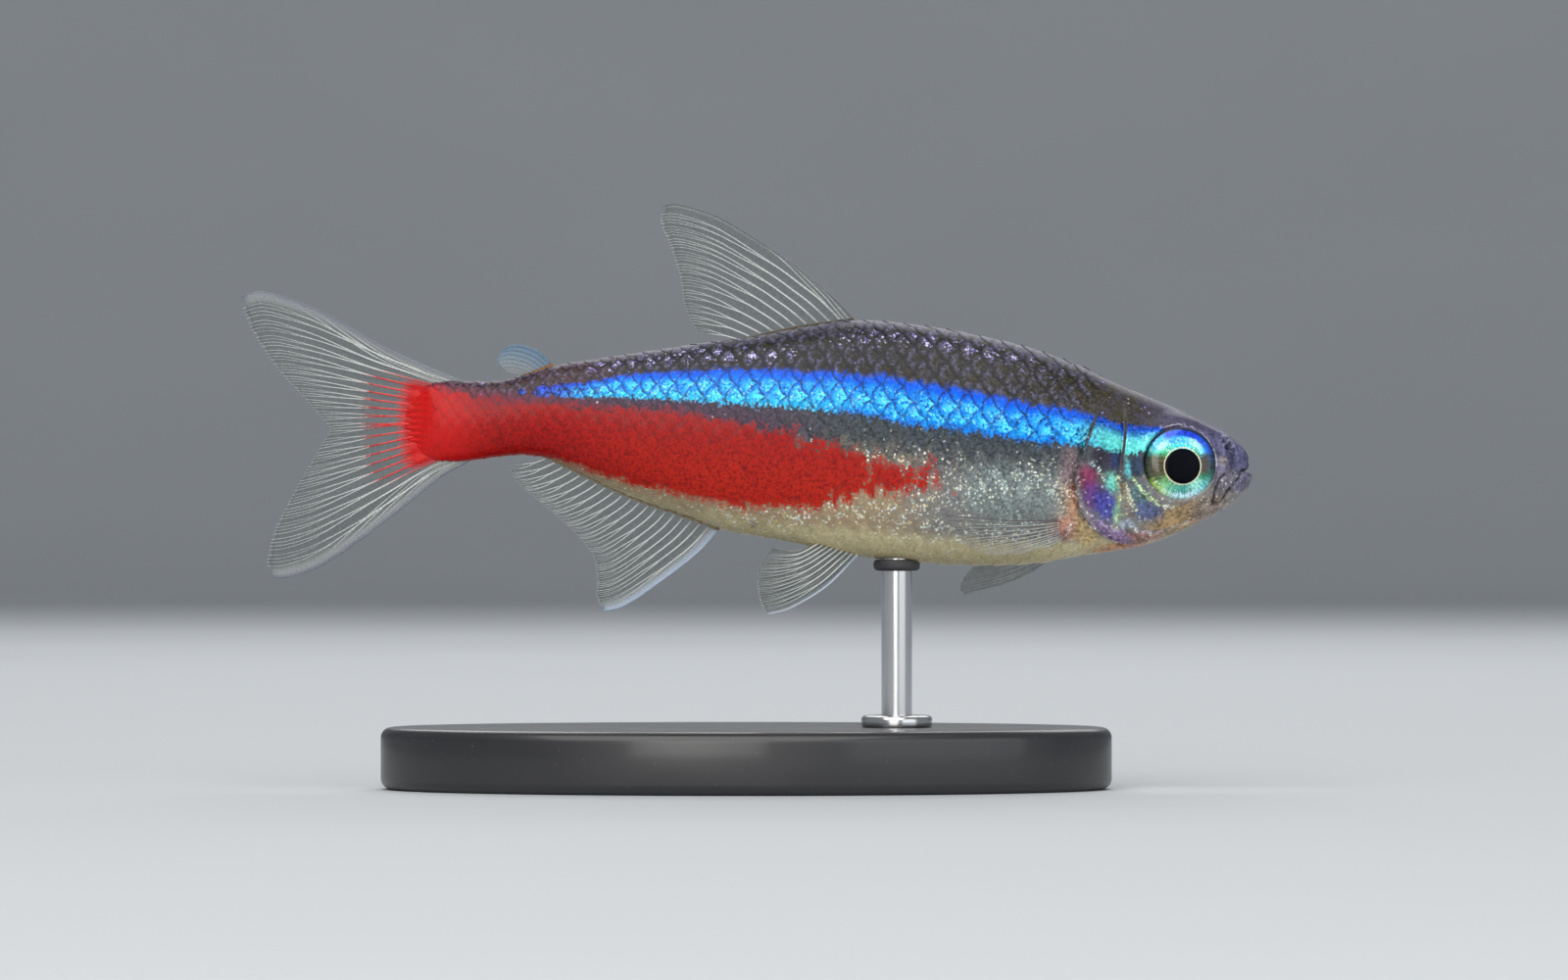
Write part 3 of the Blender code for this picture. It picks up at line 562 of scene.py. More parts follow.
def plate_faces(rows, columns):
    """The faces of a closed thin plate whose two sides are grids of points."""
    index = np.arange(rows * columns).reshape(rows, columns)
    count = rows * columns
    top = grid_faces(rows, columns)
    rim = np.concatenate((index[0], index[1:, -1], index[-1, -2::-1], index[-2:0:-1, 0]))
    following = np.roll(rim, -1)
    sides = np.stack((following, rim, rim + count, following + count), -1)
    return np.concatenate((top, top[:, ::-1] + count, sides))


def tube(path, normal, across, thick, sides=6):
    """A closed flattened tube along a path: its points, and its faces."""
    tangent = unit(np.gradient(path, axis=0))
    sideways = unit(np.cross(normal, tangent))
    angle = np.arange(sides) * 2 * math.pi / sides
    ring = (
        np.cos(angle)[None, :, None] * sideways[:, None] * across[:, None, None]
        + np.sin(angle)[None, :, None] * normal[:, None] * thick[:, None, None]
    )
    points = (path[:, None] + ring).reshape(-1, 3)
    index = np.arange(len(path) * sides).reshape(-1, sides)
    turned = np.roll(index, -1, axis=1)
    walls = np.stack((index[:-1], turned[:-1], turned[1:], index[1:]), -1).reshape(-1, 4)
    return points, [*walls, index[0][::-1], index[-1]]


def select_only(obj):
    bpy.ops.object.select_all(action="DESELECT")
    bpy.context.view_layer.objects.active = obj
    obj.select_set(True)


def settle(obj):
    """Leaves the object at the origin, unturned and unscaled, with its place in its mesh."""
    select_only(obj)
    bpy.ops.object.transform_apply(location=True, rotation=True, scale=True)


def soften(obj, width, segments):
    """Rounds the sharp edges."""
    bevel = obj.modifiers.new("soft edge", "BEVEL")
    bevel.width, bevel.segments = width, segments
    bevel.limit_method, bevel.angle_limit = "ANGLE", math.radians(60)
    select_only(obj)
    bpy.ops.object.modifier_apply(modifier=bevel.name)


def shade(obj):
    select_only(obj)
    bpy.ops.object.shade_smooth_by_angle(angle=math.radians(40))


def wear(obj, *materials):
    obj.data.materials.clear()
    for material in materials:
        obj.data.materials.append(material)


_flank_tree = []


def flank_tree():
    """The bare body, to cast lines at."""
    if not _flank_tree:
        places = np.linspace(0, LAST_STATION, 220)
        angles = np.linspace(-math.pi, math.pi, 181)
        points = body_point(places[:, None], angles[None, :])
        faces = grid_faces(len(places), len(angles)).tolist()
        _flank_tree.append(BVHTree.FromPolygons(points.reshape(-1, 3).tolist(), faces))
    return _flank_tree[0]


def cast(start, direction):
    place, normal, _, _ = flank_tree().ray_cast(Vector(start), Vector(direction))
    if place is None:
        raise RuntimeError(f"no body at {tuple(start)}")
    return place, normal


# Markings and relief


def paint(points):
    """The values that the skin's material turns into colours, at points of the plain body."""
    x, z = points[:, 0], points[:, 2]
    table = np.array(STATIONS)
    back = np.interp(x, table[:, 0], table[:, 1])
    belly = np.interp(x, table[:, 2], table[:, 3])
    top, bottom = line_height(x, STRIPE_TOP), line_height(x, STRIPE_BOTTOM)
    stripe = (z - (top + bottom) / 2) / np.maximum((top - bottom) / 2, 0.05)
    stripe_on = ease(-4.40, -3.60, x) * ease(14.95, 14.55, x)
    for cx, cz, radius in STRIPE_START:
        stripe_on = np.maximum(stripe_on, hump(np.hypot(x - cx, z - cz), radius))
    # The stripe breaks along the gill's gap, and along the preopercle's groove under its painted
    # shade
    gaps = np.minimum(line_distance(x, z, GILL_GAP), line_distance(x, z, STROKES[0][-1][:3]))
    red = np.minimum(line_height(x, RED_TOP) - z, z - line_height(x, RED_BOTTOM))
    red = np.minimum(red, (RED_END - x) * RED_SLOPE)
    behind = behind_line(x, z, GILL_EDGE) - np.maximum(z - SHOULDER, 0.0) * SHOULDER_SLOPE
    head = ease(0.04, -0.04, behind)
    tint, glint = tints(x, z, head)
    for line in BACK_GLINTS:
        glint = np.maximum(glint, 0.9 * hump(line_distance(x, z, line), 0.17))
    for line in FLANK_GLINTS:
        glint = np.maximum(glint, 0.55 * hump(line_distance(x, z, line), 0.45))
    return {
        "stripe": np.clip(stripe, -6, 6),
        "stripe_on": stripe_on * (1 - hump(gaps, 0.06)),
        "red": np.clip(red, -2, 2),
        "cream": np.clip(line_height(x, CREAM_TOP) - z, -3, 2),
        "level": (z - belly) / np.maximum(back - belly, 0.1),
        "patch": tint,
        "glint": glint,
    }


def tints(x, z, head):
    """The local tints as red, green and blue, with their strength as alpha, and the glints."""
    wave = 1 - 0.75 * ease(16.0, 16.5, x)
    x, z = (
        x + wave * (0.035 * np.sin(17 * x + 9 * z) + 0.025 * np.sin(31 * z - 12 * x + 1.3)),
        z + wave * (0.035 * np.sin(19 * z - 8 * x + 0.7) + 0.025 * np.sin(29 * x + 11 * z + 2.1)),
    )
    colour, glint = np.zeros((len(x), 4)), np.zeros(len(x))
    masks = {"head": head, "body": 1 - head, "both": np.ones_like(head)}

    def cover(tint, share):
        colour[:, :3] = colour[:, :3] * (1 - share[:, None]) + np.array(tint) * share[:, None]
        colour[:, 3] = colour[:, 3] * (1 - share) + share

    for where, cx, cz, rx, rz, lean, tint, strength in TINTS:
        along = (x - cx) * math.cos(lean) + (z - cz) * math.sin(lean)
        upward = (z - cz) * math.cos(lean) - (x - cx) * math.sin(lean)
        reach = np.hypot(along / rx, upward / rz)
        cover(tint, strength * ease(1.30, 0.45, reach) * masks[where])
    for where, width, tint, strength, shine, line in STROKES:
        share = hump(line_distance(x, z, line), width) * masks[where]
        cover(tint, strength * share)
        glint = np.maximum(glint, shine * share)
    # Each nostril: painted shade in its pit, and a painted highlight on the upper side of its rim
    for nx, nz, radius in NOSTRILS:
        reach = np.hypot(x - nx, z - nz)
        cover((0.30, 0.30, 0.42), 0.4 * hump(reach - radius * 1.55, 0.045) * head * (z > nz - 0.02))
        cover((0.006, 0.006, 0.012), hump(reach, radius) * head)
    colour[:, :3] /= np.maximum(colour[:, 3:], 0.02)
    return np.clip(colour, 0, 1), glint


def head_relief(points, normals):
    """How far the skin stands out from the plain body, for the forms of the head."""
    x, z = points[..., 0], points[..., 2]
    on_side = ease(0.15, 0.5, np.abs(normals[..., 1]))
    from_mouth = line_distance(x, z, MOUTH_LINE)
    above_mouth = ease(-0.02, 0.02, z - line_height(x, MOUTH_LINE[::-1]))
    tip = ease(17.25, 17.70, x)
    lips = (0.045 + 0.02 * above_mouth) * hump(from_mouth - 0.15, 0.10)
    mouth = -(0.13 + 0.03 * tip) * hump(from_mouth, 0.040)
    mouth -= tip * 0.13 * ease(11.84, 11.46, z) * ease(11.08, 11.30, z)
    fold = line_distance(x, z, LIP_FOLD)
    fold = -0.10 * hump(fold, 0.040) + 0.045 * hump(fold - 0.16, 0.10)
    behind = behind_line(x, z, GILL_EDGE)
    in_cover = ease(12.95, 12.55, z)
    gill = -0.13 * ease(-0.35, -0.05, behind) * ease(0.45, 0.02, behind) * in_cover
    preopercle = line_distance(x, z, PREOPERCLE)
    ahead = ease(-0.03, 0.03, -behind_line(x, z, PREOPERCLE))
    cheek = -0.05 * hump(preopercle, 0.035) + 0.05 * ahead * hump(preopercle, 0.45)
    lower = line_distance(x, z, CHEEK_EDGE)
    lower = -0.04 * hump(lower, 0.035) + 0.02 * hump(lower - 0.12, 0.08)
    seam = -0.03 * hump(line_distance(x, z, UNDER_EYE_ARC), 0.05)
    nose = np.zeros_like(x)
    for nx, nz, radius in NOSTRILS:
        reach = np.hypot(x - nx, z - nz)
        nose += -0.17 * hump(reach, radius * 0.85) + 0.04 * hump(reach - radius * 1.6, 0.05)
    pectoral = 0.13 * hump(np.hypot((x - 11.15) / 1.3, z - 9.22), 0.34)
    relief = on_side * (fold + gill + cheek + lower + seam + nose + pectoral)
    return relief + lips * ease(0.0, 0.25, np.abs(points[..., 1]) + 0.1) + mouth


def seat_eye(points):
    """Opens the orbit: the skin rises to the eye's rim and turns in behind it."""
    cx, cz = ORBIT
    x, y, z = points[..., 0], points[..., 1], points[..., 2]
    radius = np.hypot(x - cx, z - cz)
    plane = ORBIT_OUT - math.tan(EYE_YAW) * (x - cx) - math.tan(EYE_PITCH) * (z - cz)
    lift = ease(1.95, 1.38, radius) * 0.85
    out = np.abs(y)
    facing = ease(0.35, 0.75, out)
    risen = out + lift * facing * np.maximum(plane - out, 0.0)
    risen = risen + 0.035 * hump(radius - ORBIT_RADIUS - 0.03, 0.06) * facing
    inner = 0.85 + 2.0 * ease(ORBIT_RADIUS - 0.09, ORBIT_RADIUS, radius)
    sunk = np.where(radius < ORBIT_RADIUS, np.minimum(risen, inner), risen)
    return np.stack((x, np.sign(y) * sunk, z), -1)


def skin_points(place, around):
    """The dressed skin, inside the solids by the depth of the coat, and the plain body there.

    Places below zero close the tail stem with a rounded wedge inside the fin's root.
    """
    solid, normals = body_surface(np.maximum(place, 0), around)
    bare = 1 - 0.65 * ease(13.0, 14.6, solid[..., 0])
    depth = COAT_DEPTH * bare * ease(LAST_STATION, LAST_STATION - 1, place)
    relief = head_relief(solid, normals) * ease(9.5, 10.5, solid[..., 0])
    skin = seat_eye(solid + normals * (relief - depth)[..., None])
    cap = np.clip(-place, 0, 1)
    middle = (STATIONS[0][1] + STATIONS[0][3]) / 2
    height = (skin[..., 2] - middle) / (STATIONS[0][1] - middle)
    lobes = 1 + 0.13 * np.cos(38 * height)
    skin[..., 0] -= 0.85 * cap * np.clip(1 - height**2, 0, 1) ** 0.6 * lobes
    skin[..., 1] *= 0.93 * (1 - cap) ** 1.15 + 0.07 * np.sqrt(1 - cap)
    skin[..., 2] = middle + (skin[..., 2] - middle) * (1 - 0.06 * cap**2)
    return skin, solid


# Materials


class Value:
    """What a socket gives out, so that sums of such values are written as on paper."""

    def __init__(self, build, socket):
        self.build, self.socket = build, socket

    def __getitem__(self, name):
        """Another output of the same node."""
        return Value(self.build, self.socket.node.outputs[name])

    def __add__(self, other):
        return self.build.math("ADD", self, other)

    def __mul__(self, other):
        return self.build.math("MULTIPLY", self, other)

    def __sub__(self, other):
        return self.build.math("SUBTRACT", self, other)

    def __rsub__(self, other):
        return self.build.math("SUBTRACT", other, self)

    def __pow__(self, other):
        return self.build.math("POWER", self, other)

    def __abs__(self):
        return self.build.math("ABSOLUTE", self)

    __radd__, __rmul__ = __add__, __mul__

    def clamped(self):
        return self.build.math("ADD", self, 0.0, clamp=True)

    def ramp(self, low, high, start=0.0, end=1.0):
        """Eases from start to end while the value goes from low to high."""
        ends = {"Value": self, "From Min": low, "From Max": high, "To Min": start, "To Max": end}
        return self.build.add("MapRange", ends, interpolation_type="SMOOTHSTEP")

    def stops(self, table):
        """The colours of a table of places with red, green and blue, blended in between."""
        ramp = self.build.add("ValToRGB", {"Fac": self})
        elements = ramp.socket.node.color_ramp.elements
        while len(elements) < len(table):
            elements.new(0.5)
        for element, (place, *colour) in zip(elements, table):
            element.position, element.color = place, (*colour, 1.0)
        return ramp


class Shader:
    """A node tree with short calls to add nodes and to fill sockets."""

    MIX_A, MIX_B, MIX_COLOUR = 6, 7, 2  # a mix node's sockets for colours

    def __init__(self, tree):
        self.tree = tree

    def add(self, kind, inputs, out=0, **settings):
        """One output of a new node."""
        node = self.tree.nodes.new("ShaderNode" + kind)
        for key, value in settings.items():
            setattr(node, key, value)
        for key, value in inputs.items():
            self.put(node.inputs[key], value)
        return Value(self, node.outputs[out])

    def put(self, socket, value):
        if isinstance(value, Value):
            self.tree.links.new(value.socket, socket)
        else:
            socket.default_value = (*value, 1.0) if socket.type == "RGBA" else value

    def fill(self, sockets, **values):
        for key, value in values.items():
            self.put(sockets[key.replace("_", " ")], value)

    def math(self, operation, a, b=0.0, clamp=False):
        return self.add("Math", {0: a, 1: b}, operation=operation, use_clamp=clamp)

    def mix(self, factor, a, b, blend="MIX"):
        inputs = {0: factor, self.MIX_A: a, self.MIX_B: b}
        return self.add("Mix", inputs, self.MIX_COLOUR, data_type="RGBA", blend_type=blend)

    def dim(self, colour, value):
        """The colour made darker or brighter by a value."""
        even = self.add("CombineColor", dict.fromkeys(("Red", "Green", "Blue"), value))
        return self.mix(1.0, colour, even, "MULTIPLY")

    def value(self, name):
        return self.add("Attribute", {}, "Fac", attribute_name=name)

    def place(self):
        return self.add("TexCoord", {}, "Object")

    def along_x(self):
        """The place along the body in millimetres."""
        return self.add("SeparateXYZ", {"Vector": self.place()}, "X") * (1 / MM)

    def stretched(self, upward):
        """The place for a texture drawn out upwards."""
        return self.add("Mapping", {"Vector": self.place(), "Scale": (1.0, 1.0, upward)})

    def noise(self, place, scale, detail=3.0, roughness=0.55):
        inputs = {"Vector": place, "Scale": scale, "Detail": detail, "Roughness": roughness}
        return self.add("TexNoise", inputs, "Fac")

    def cells(self, scale):
        """Small cells of the surface: how far it is to each one's middle, and its colour."""
        return self.add("TexVoronoi", {"Vector": self.place(), "Scale": scale}, "Distance")

    def split(self, colour):
        return self.add("SeparateColor", {"Color": colour}, "Red")

    def bump(self, height, strength, depth):
        inputs = {"Height": height, "Strength": strength, "Distance": depth * MM}
        return self.add("Bump", inputs, "Normal")

    def group(self, name, **values):
        used = self.add("Group", {}, node_tree=bpy.data.node_groups[name])
        self.fill(used.socket.node.inputs, **values)
        return used


FLOAT, COLOUR = "NodeSocketFloat", "NodeSocketColor"


def node_group(name, inputs, outputs):
    """A new shader node group with named sockets: its builder, its inputs and its outputs."""
    tree = bpy.data.node_groups.new(name, "ShaderNodeTree")
    for key, kind, default in inputs:
        socket = tree.interface.new_socket(key, in_out="INPUT", socket_type=kind)
        socket.default_value = (*default, 1.0) if kind == COLOUR else default
    for key in outputs:
        kind = COLOUR if key in ("Color", "Glow") else FLOAT
        tree.interface.new_socket(key, in_out="OUTPUT", socket_type=kind)
    build = Shader(tree)
    given = Value(build, tree.nodes.new("NodeGroupInput").outputs[0])
    return build, given, tree.nodes.new("NodeGroupOutput").inputs


def new_material(name, **constants):
    material = bpy.data.materials.new(name)
    material.use_nodes = True
    build = Shader(material.node_tree)
    shader = material.node_tree.nodes["Principled BSDF"].inputs
    build.fill(shader, **constants)
    return material, build, shader


def make_grain_and_glint_group():
    """Fine grains: a mottle of pigment, a sparkle of guanine that marks painted glints, and a
    height.
    """
    inputs = [("Mottle Scale", FLOAT, 9000.0), ("Sparkle Scale", FLOAT, 15000.0)]
    outputs = ("Mottle", "Sparkle", "Hue", "Height")
    build, given, out = node_group("fine_grain", inputs, outputs)
    mottle = build.noise(build.place(), given["Mottle Scale"], 4.0, 0.65)
    kind = build.split(build.cells(given["Sparkle Scale"])["Color"])
    height = mottle * 0.6 + kind["Blue"] * 0.4
    build.fill(out, Mottle=mottle, Sparkle=kind, Hue=kind["Green"], Height=height)


def make_marking_group():
    """The fish's own markings, from the values kept on its skin and scales."""
    colours = bpy.context.scene.tetra_colours
    names = [n for n in TetraColours.__annotations__ if n not in ("ray", "membrane")]
    inputs = [(n.replace("_", " ").title(), COLOUR, getattr(colours, n)[:]) for n in names]
    outputs = ("Color", "Glow", "Metallic", "Roughness", "Height")
    build, given, out = node_group("tetra_markings", inputs, outputs)
    mix, dim = build.mix, build.dim
    grain = build.group("fine_grain")
    mottle, sparkle, hue = grain["Mottle"], grain["Sparkle"], grain["Hue"]
    coarse = build.noise(build.place(), 2600.0, 4.0, 0.6)
    blot, speck = coarse - 0.5, mottle - 0.5
    kept = ("level", "stripe", "stripe_on", "red", "cream", "glint", "rim", "tint")
    level, stripe, stripe_on, red, cream, glint, rim, own = (build.value(n) for n in kept)
    along = build.along_x()

    # Back, flank and belly, and the grain of the whole body
    uneven = blot * 0.24 + level
    on_back = uneven.ramp(0.60, 0.74)
    silver = mix((blot * 4.0 + along).ramp(7.5, 4.0), given["Silver"], (0.40, 0.30, 0.19))
    body = mix(uneven.ramp(0.28, 0.54), silver, given["Flank"])
    creamy = (blot * 0.6 + cream).ramp(-0.30, 0.30)
    body = mix(creamy, body, given["Belly"])
    shade = along.ramp(9.5, 4.0, 1.0, 0.58)
    body = mix(uneven.ramp(0.62, 0.74), body, dim(given["Back"], shade))
    body = mix(uneven.ramp(0.93, 1.02), body, given["Crown"])
    fore = (blot * 1.2 + along).ramp(13.4, 15.2)
    body = mix(fore * level.ramp(0.45, 0.70), body, given["Crown"])
    violet = (coarse + speck).ramp(0.42, 0.64, 0.0, 0.42) * level.ramp(0.55, 0.72)
    body = mix(violet, body, dim((0.060, 0.056, 0.105), shade))
    stem = along.ramp(-3.0, -6.5, 0.0, 0.60) * level.ramp(0.55, 0.75)
    body = mix(stem, body, (0.085, 0.036, 0.044))
    smooth = dim(body, mottle.ramp(0.33, 0.67, 0.90, 1.08))
    rough = dim(body, mottle.ramp(0.33, 0.67, 0.45, 1.60))
    grainy = uneven.ramp(0.20, 0.56, 0.08, 1.0) * along.ramp(11.5, 13.5, 1.0, 0.42)
    body = mix(grainy, smooth, rough)
    # A painted sheen of pale blue near the rims of the back's scales
    sheen = rim.ramp(0.40, 0.68) * rim.ramp(0.84, 0.68)
    sheen = sheen * mottle.ramp(0.40, 0.60) * level.ramp(0.60, 0.75)
    body = mix(sheen * 0.5, body, (0.16, 0.16, 0.30))
    band = stripe.ramp(-3.6, -2.2) * stripe.ramp(-0.5, -1.2) * along.ramp(4.5, -1.0)
    body = mix(band, body, dim(given["Band"], mottle.ramp(0.33, 0.67, 0.5, 1.5)))
    fringe = red.ramp(-0.50, -0.05) * along.ramp(-4.5, -7.0) * level.ramp(0.50, 0.70)
    fringe = fringe * mottle.ramp(0.35, 0.6, 0.5, 0.95)
    body = mix(fringe, body, (0.17, 0.022, 0.050))

    # The red, ragged where it ends in front
    front = along.ramp(-1.0, 3.5)
    teeth = build.noise(build.stretched(0.35), 3400.0, 2.0) - 0.5
    blot = blot + front * (teeth - blot)
    ragged = (own - 0.5) * (front * 0.5) + (front * 1.1 + 0.9) * (speck * 0.9 + blot * 0.8)
    red_share = (ragged + red).ramp(front * -0.22 - 0.20, 0.16)
    reds = mix(mottle.ramp(0.34, 0.62), given["Red Deep"], given["Red Bright"])
    ember = level.ramp(0.55, 0.25) * along.ramp(-7.5, -1.0) * mottle.ramp(0.36, 0.60, 0.1, 0.75)
    reds = mix(ember, reds, (0.55, 0.018, 0.002))
    reds = mix(along.ramp(-8.8, -10.8) * 0.55, reds, (0.70, 0.004, 0.003))
    deep = level.ramp(0.55, 0.75) * along.ramp(-10.8, -8.5)
    reds = mix(deep * 0.55, reds, (0.19, 0.010, 0.020))
    body = mix(red_share, body, reds)

    # The local tints
    patch = build.add("Attribute", {}, "Color", attribute_name="patch")
    flecks = blot * 0.6 + mottle
    body = mix(patch["Alpha"], body, dim(patch, flecks.ramp(0.28, 0.72, 0.38, 1.75)))

    # Painted glints, as fine sparks and as larger spots
    cool = mix(hue, (0.16, 0.17, 0.72), (0.72, 0.62, 0.92))
    tone = mix(on_back, hue.stops(WARM_GLINTS), cool)
    same = dim(mix(0.12, patch, (0.8, 1.0, 0.9)), 2.6)
    tone = mix(patch["Alpha"] * 0.85, tone, same)
    not_red = red_share.ramp(0.5, 0.0)
    low = uneven.ramp(0.62, 0.25) * not_red
    few = low * (creamy + patch["Alpha"]).ramp(0.1, 0.9, 0.07, 0.05)
    many = glint * rim.ramp(0.85, 0.25) * not_red + few + (1.0 - red_share) * 0.006
    body = mix(sparkle.ramp(1.0 - many, 1.0) * 0.70, body, tone)
    glint_cells = build.cells(9500.0)
    dot = (speck * 1.2 + glint_cells).ramp(0.62, 0.25)
    heart = 1.0 + on_back * (rim.ramp(0.72, 0.34) * 1.5 - 1.0)
    often = (glint * heart * 0.38 + few * 0.30) * red_share.ramp(0.7, 0.1)
    clumps = build.noise(build.place(), 1500.0, 1.0).ramp(0.42, 0.60, 0.25, 1.9)
    often = often * (clumps + on_back * (1.0 - clumps))
    shown = build.split(glint_cells["Color"]).ramp(1.0 - often, 1.05 - often)
    body = mix(dot * shown, body, mix(0.35, tone, (1.0, 0.97, 0.90)))

    # The blue stripe
    ragged = speck * 1.2 + blot * 0.8 + stripe
    stripe_share = abs(ragged).ramp(1.16, 0.84) * (own * 0.30 + stripe_on).ramp(0.34, 0.62)
    blues = mix(ragged.ramp(-1.0, -0.2), given["Stripe Low"], given["Stripe Middle"])
    blues = mix(ragged.ramp(0.20, 0.80), blues, given["Stripe Top"])
    # Painted glints in the stripe: a bright core in the middle of each scale, fine sparks, and a
    # gleam on the head
    core = abs(ragged + 0.22).ramp(0.95, 0.05) * mottle.ramp(0.36, 0.56)
    core = core * rim.ramp(0.85, 0.25, 0.10, 1.0)
    blues = mix(core * 0.70, blues, given["Stripe Glint"])
    spark = sparkle.ramp(0.78, 1.0) * ragged.ramp(0.8, -0.1, 0.06, 0.60)
    blues = mix(spark, blues, (0.36, 0.93, 1.0))
    blues = dim(blues, mottle.ramp(0.28, 0.60, 0.28, 1.05))
    bony = along.ramp(11.2, 12.4)
    grit = teeth * 0.55 + mottle
    blues = dim(blues, 1.0 + bony * (grit.ramp(0.30, 0.62, 0.26, 0.76) - 1.0))
    gleam = bony * grit.ramp(0.55, 0.70) * abs(ragged).ramp(0.85, 0.15, 0.0, 0.85)
    blues = mix(gleam, blues, (0.50, 1.0, 0.98))
    violet = mix(mottle, (0.01, 0.02, 0.30), (0.07, 0.12, 0.95))
    blues = mix(along.ramp(-5.2, -7.2) * 0.85, blues, violet)
    spotty = mottle.ramp(0.38, 0.60, 0.15, 0.85) - 1.0
    blues = dim(blues, 1.0 + along.ramp(-4.5, -6.5) * spotty)
    greener = along.ramp(11.8, 13.2) * ragged.ramp(0.45, -0.4)
    green = mix(mottle, (0.0, 0.42, 0.40), (0.25, 1.0, 0.80))
    blues = mix(greener * 0.7, blues, green)
    hem = along.ramp(2.2, 4.0) * along.ramp(11.8, 10.8) * ragged.ramp(-0.52, -0.88, 0.0, 0.85)
    blues = mix(hem, blues, mix(mottle, (0.0, 0.05, 0.50), (0.0, 0.26, 0.95)))
    body = mix(stripe_share, body, blues)

    # The dark rims of the scales
    strength = stripe_share * 0.05 + level.ramp(0.30, 0.75, 0.08, 0.88)
    strength = strength * red_share.ramp(0.2, 0.9, 1.0, 0.35)
    edge = rim.ramp(0.76, 0.97) * strength * mottle.ramp(0.2, 0.6, 1.0, 0.6)
    # Glow is painted light: the stripe shines by emission
    build.fill(
        out,
        Color=mix(edge, body, (0.008, 0.010, 0.022)),
        Glow=mix(stripe_share, BLACK, mix(edge, blues, BLACK)),
        Metallic=(low * 0.15 + stripe_share * 0.35 + 0.03).clamped(),
        Roughness=mottle.ramp(0.3, 0.7, 0.34, 0.52),
        Height=grain["Height"],
    )


def make_skin_material(name):
    material, build, shader = new_material(
        name,
        Coat_Weight=0.12,
        Coat_Roughness=0.14,
        IOR=1.30,
        Subsurface_Weight=0.06,
        Subsurface_Scale=0.0004,
        Emission_Strength=0.20,
    )
    look = build.group("tetra_markings")
    # The markings' glow makes the stripe shine by emission, as painted light
    build.fill(
        shader,
        Base_Color=look,
        Emission_Color=look["Glow"],
        Metallic=look["Metallic"],
        Roughness=look["Roughness"],
        Normal=build.bump(look["Height"], 0.30, 0.02),
    )
    return material


def make_fin_group():
    """Fin rays and membrane: pale bone, jointed, tinted at the root and along the front edge."""
    inputs = [
        ("Bone", COLOUR, bpy.context.scene.tetra_colours.ray[:]),
        ("Root Tint", COLOUR, BLACK),
        ("Edge Tint", COLOUR, BLACK),
        *((key, FLOAT, 0.0) for key in ("Root Length", "Edge Width", "Joints", "Bare Front")),
    ]
    build, given, out = node_group("fin_look", inputs, ("Color", "Root", "Edge", "Height"))
    mottle = build.group("fine_grain")["Mottle"]
    across, bare = build.value("fin_across"), given["Bare Front"]
    jitter = mottle * 0.5 + 0.75
    reach = given["Root Length"] * jitter
    root = build.value("fin_mm").ramp(reach, reach * 0.42) * across.ramp(bare - 0.25, bare)
    edge = across.ramp(given["Edge Width"] * jitter, 0.0)
    phase = build.math("FRACT", build.value("fin_out") * given["Joints"])
    joint = abs(phase - 0.5).ramp(0.34, 0.48)
    colour = build.mix(joint * 0.35, given["Bone"], (0.22, 0.24, 0.24))
    colour = build.mix(mottle.ramp(0.45, 0.75, 0.0, 0.5), colour, (0.85, 0.86, 0.80))
    colour = build.mix(edge, colour, given["Edge Tint"])
    colour = build.mix(root.ramp(0.0, 0.40), colour, build.dim(given["Root Tint"], 0.75))
    colour = build.mix(root.ramp(0.35, 0.80), colour, given["Root Tint"])
    build.fill(out, Color=colour, Root=root, Edge=edge, Height=mottle - joint)


def make_fin_materials(
    name, root_tint, root_length, edge_tint, edge_width, joints=38.0, web=1.0, bare=0.0, clear=1.0
):
    """The membrane and the bone of one fin. The tint at the root reaches as far along the
    bone as the length in millimetres, and a share of that on the membrane; bare is how far
    behind the front edge it starts, and below 1 clear makes the fin more see-through."""
    values = dict(
        Root_Tint=root_tint,
        Edge_Tint=edge_tint,
        Edge_Width=edge_width,
        Joints=joints,
        Bare_Front=bare,
    )
    bone, build, shader = new_material(
        f"{name}_bone", Roughness=0.32, Coat_Weight=0.3, Coat_Roughness=0.1
    )
    look = build.group("fin_look", Root_Length=root_length, **values)
    alpha = build.value("fin_out").ramp(0.35, 1.0, 0.74 * clear, 0.48 * clear)
    alpha = alpha + look["Root"] * (0.25 * clear) + look["Edge"] * (1 - clear)
    normal = build.bump(look["Height"], 0.3, 0.02)
    build.fill(shader, Base_Color=look, Alpha=alpha.clamped(), Normal=normal)

    skin, build, shader = new_material(
        f"{name}_membrane", Roughness=0.42, Coat_Weight=0.06, Coat_Roughness=0.10, IOR=1.30
    )
    look = build.group("fin_look", Root_Length=root_length * web, **values)
    colour = build.mix(look["Edge"], bpy.context.scene.tetra_colours.membrane[:], look)
    tinted = tuple(0.75 * part for part in root_tint)
    colour = build.mix(look["Root"].ramp(0.0, 0.40), colour, tinted)
    mottle = build.group("fine_grain", Mottle_Scale=5000.0)["Mottle"]
    alpha = mottle.ramp(0.3, 0.7, 0.20 * clear, 0.30 * clear) + look["Edge"] * (0.35 * clear)
    alpha = alpha + look["Root"] ** 1.8 * (0.75 * clear)
    build.fill(shader, Base_Color=colour, Alpha=alpha.clamped())
    return skin, bone


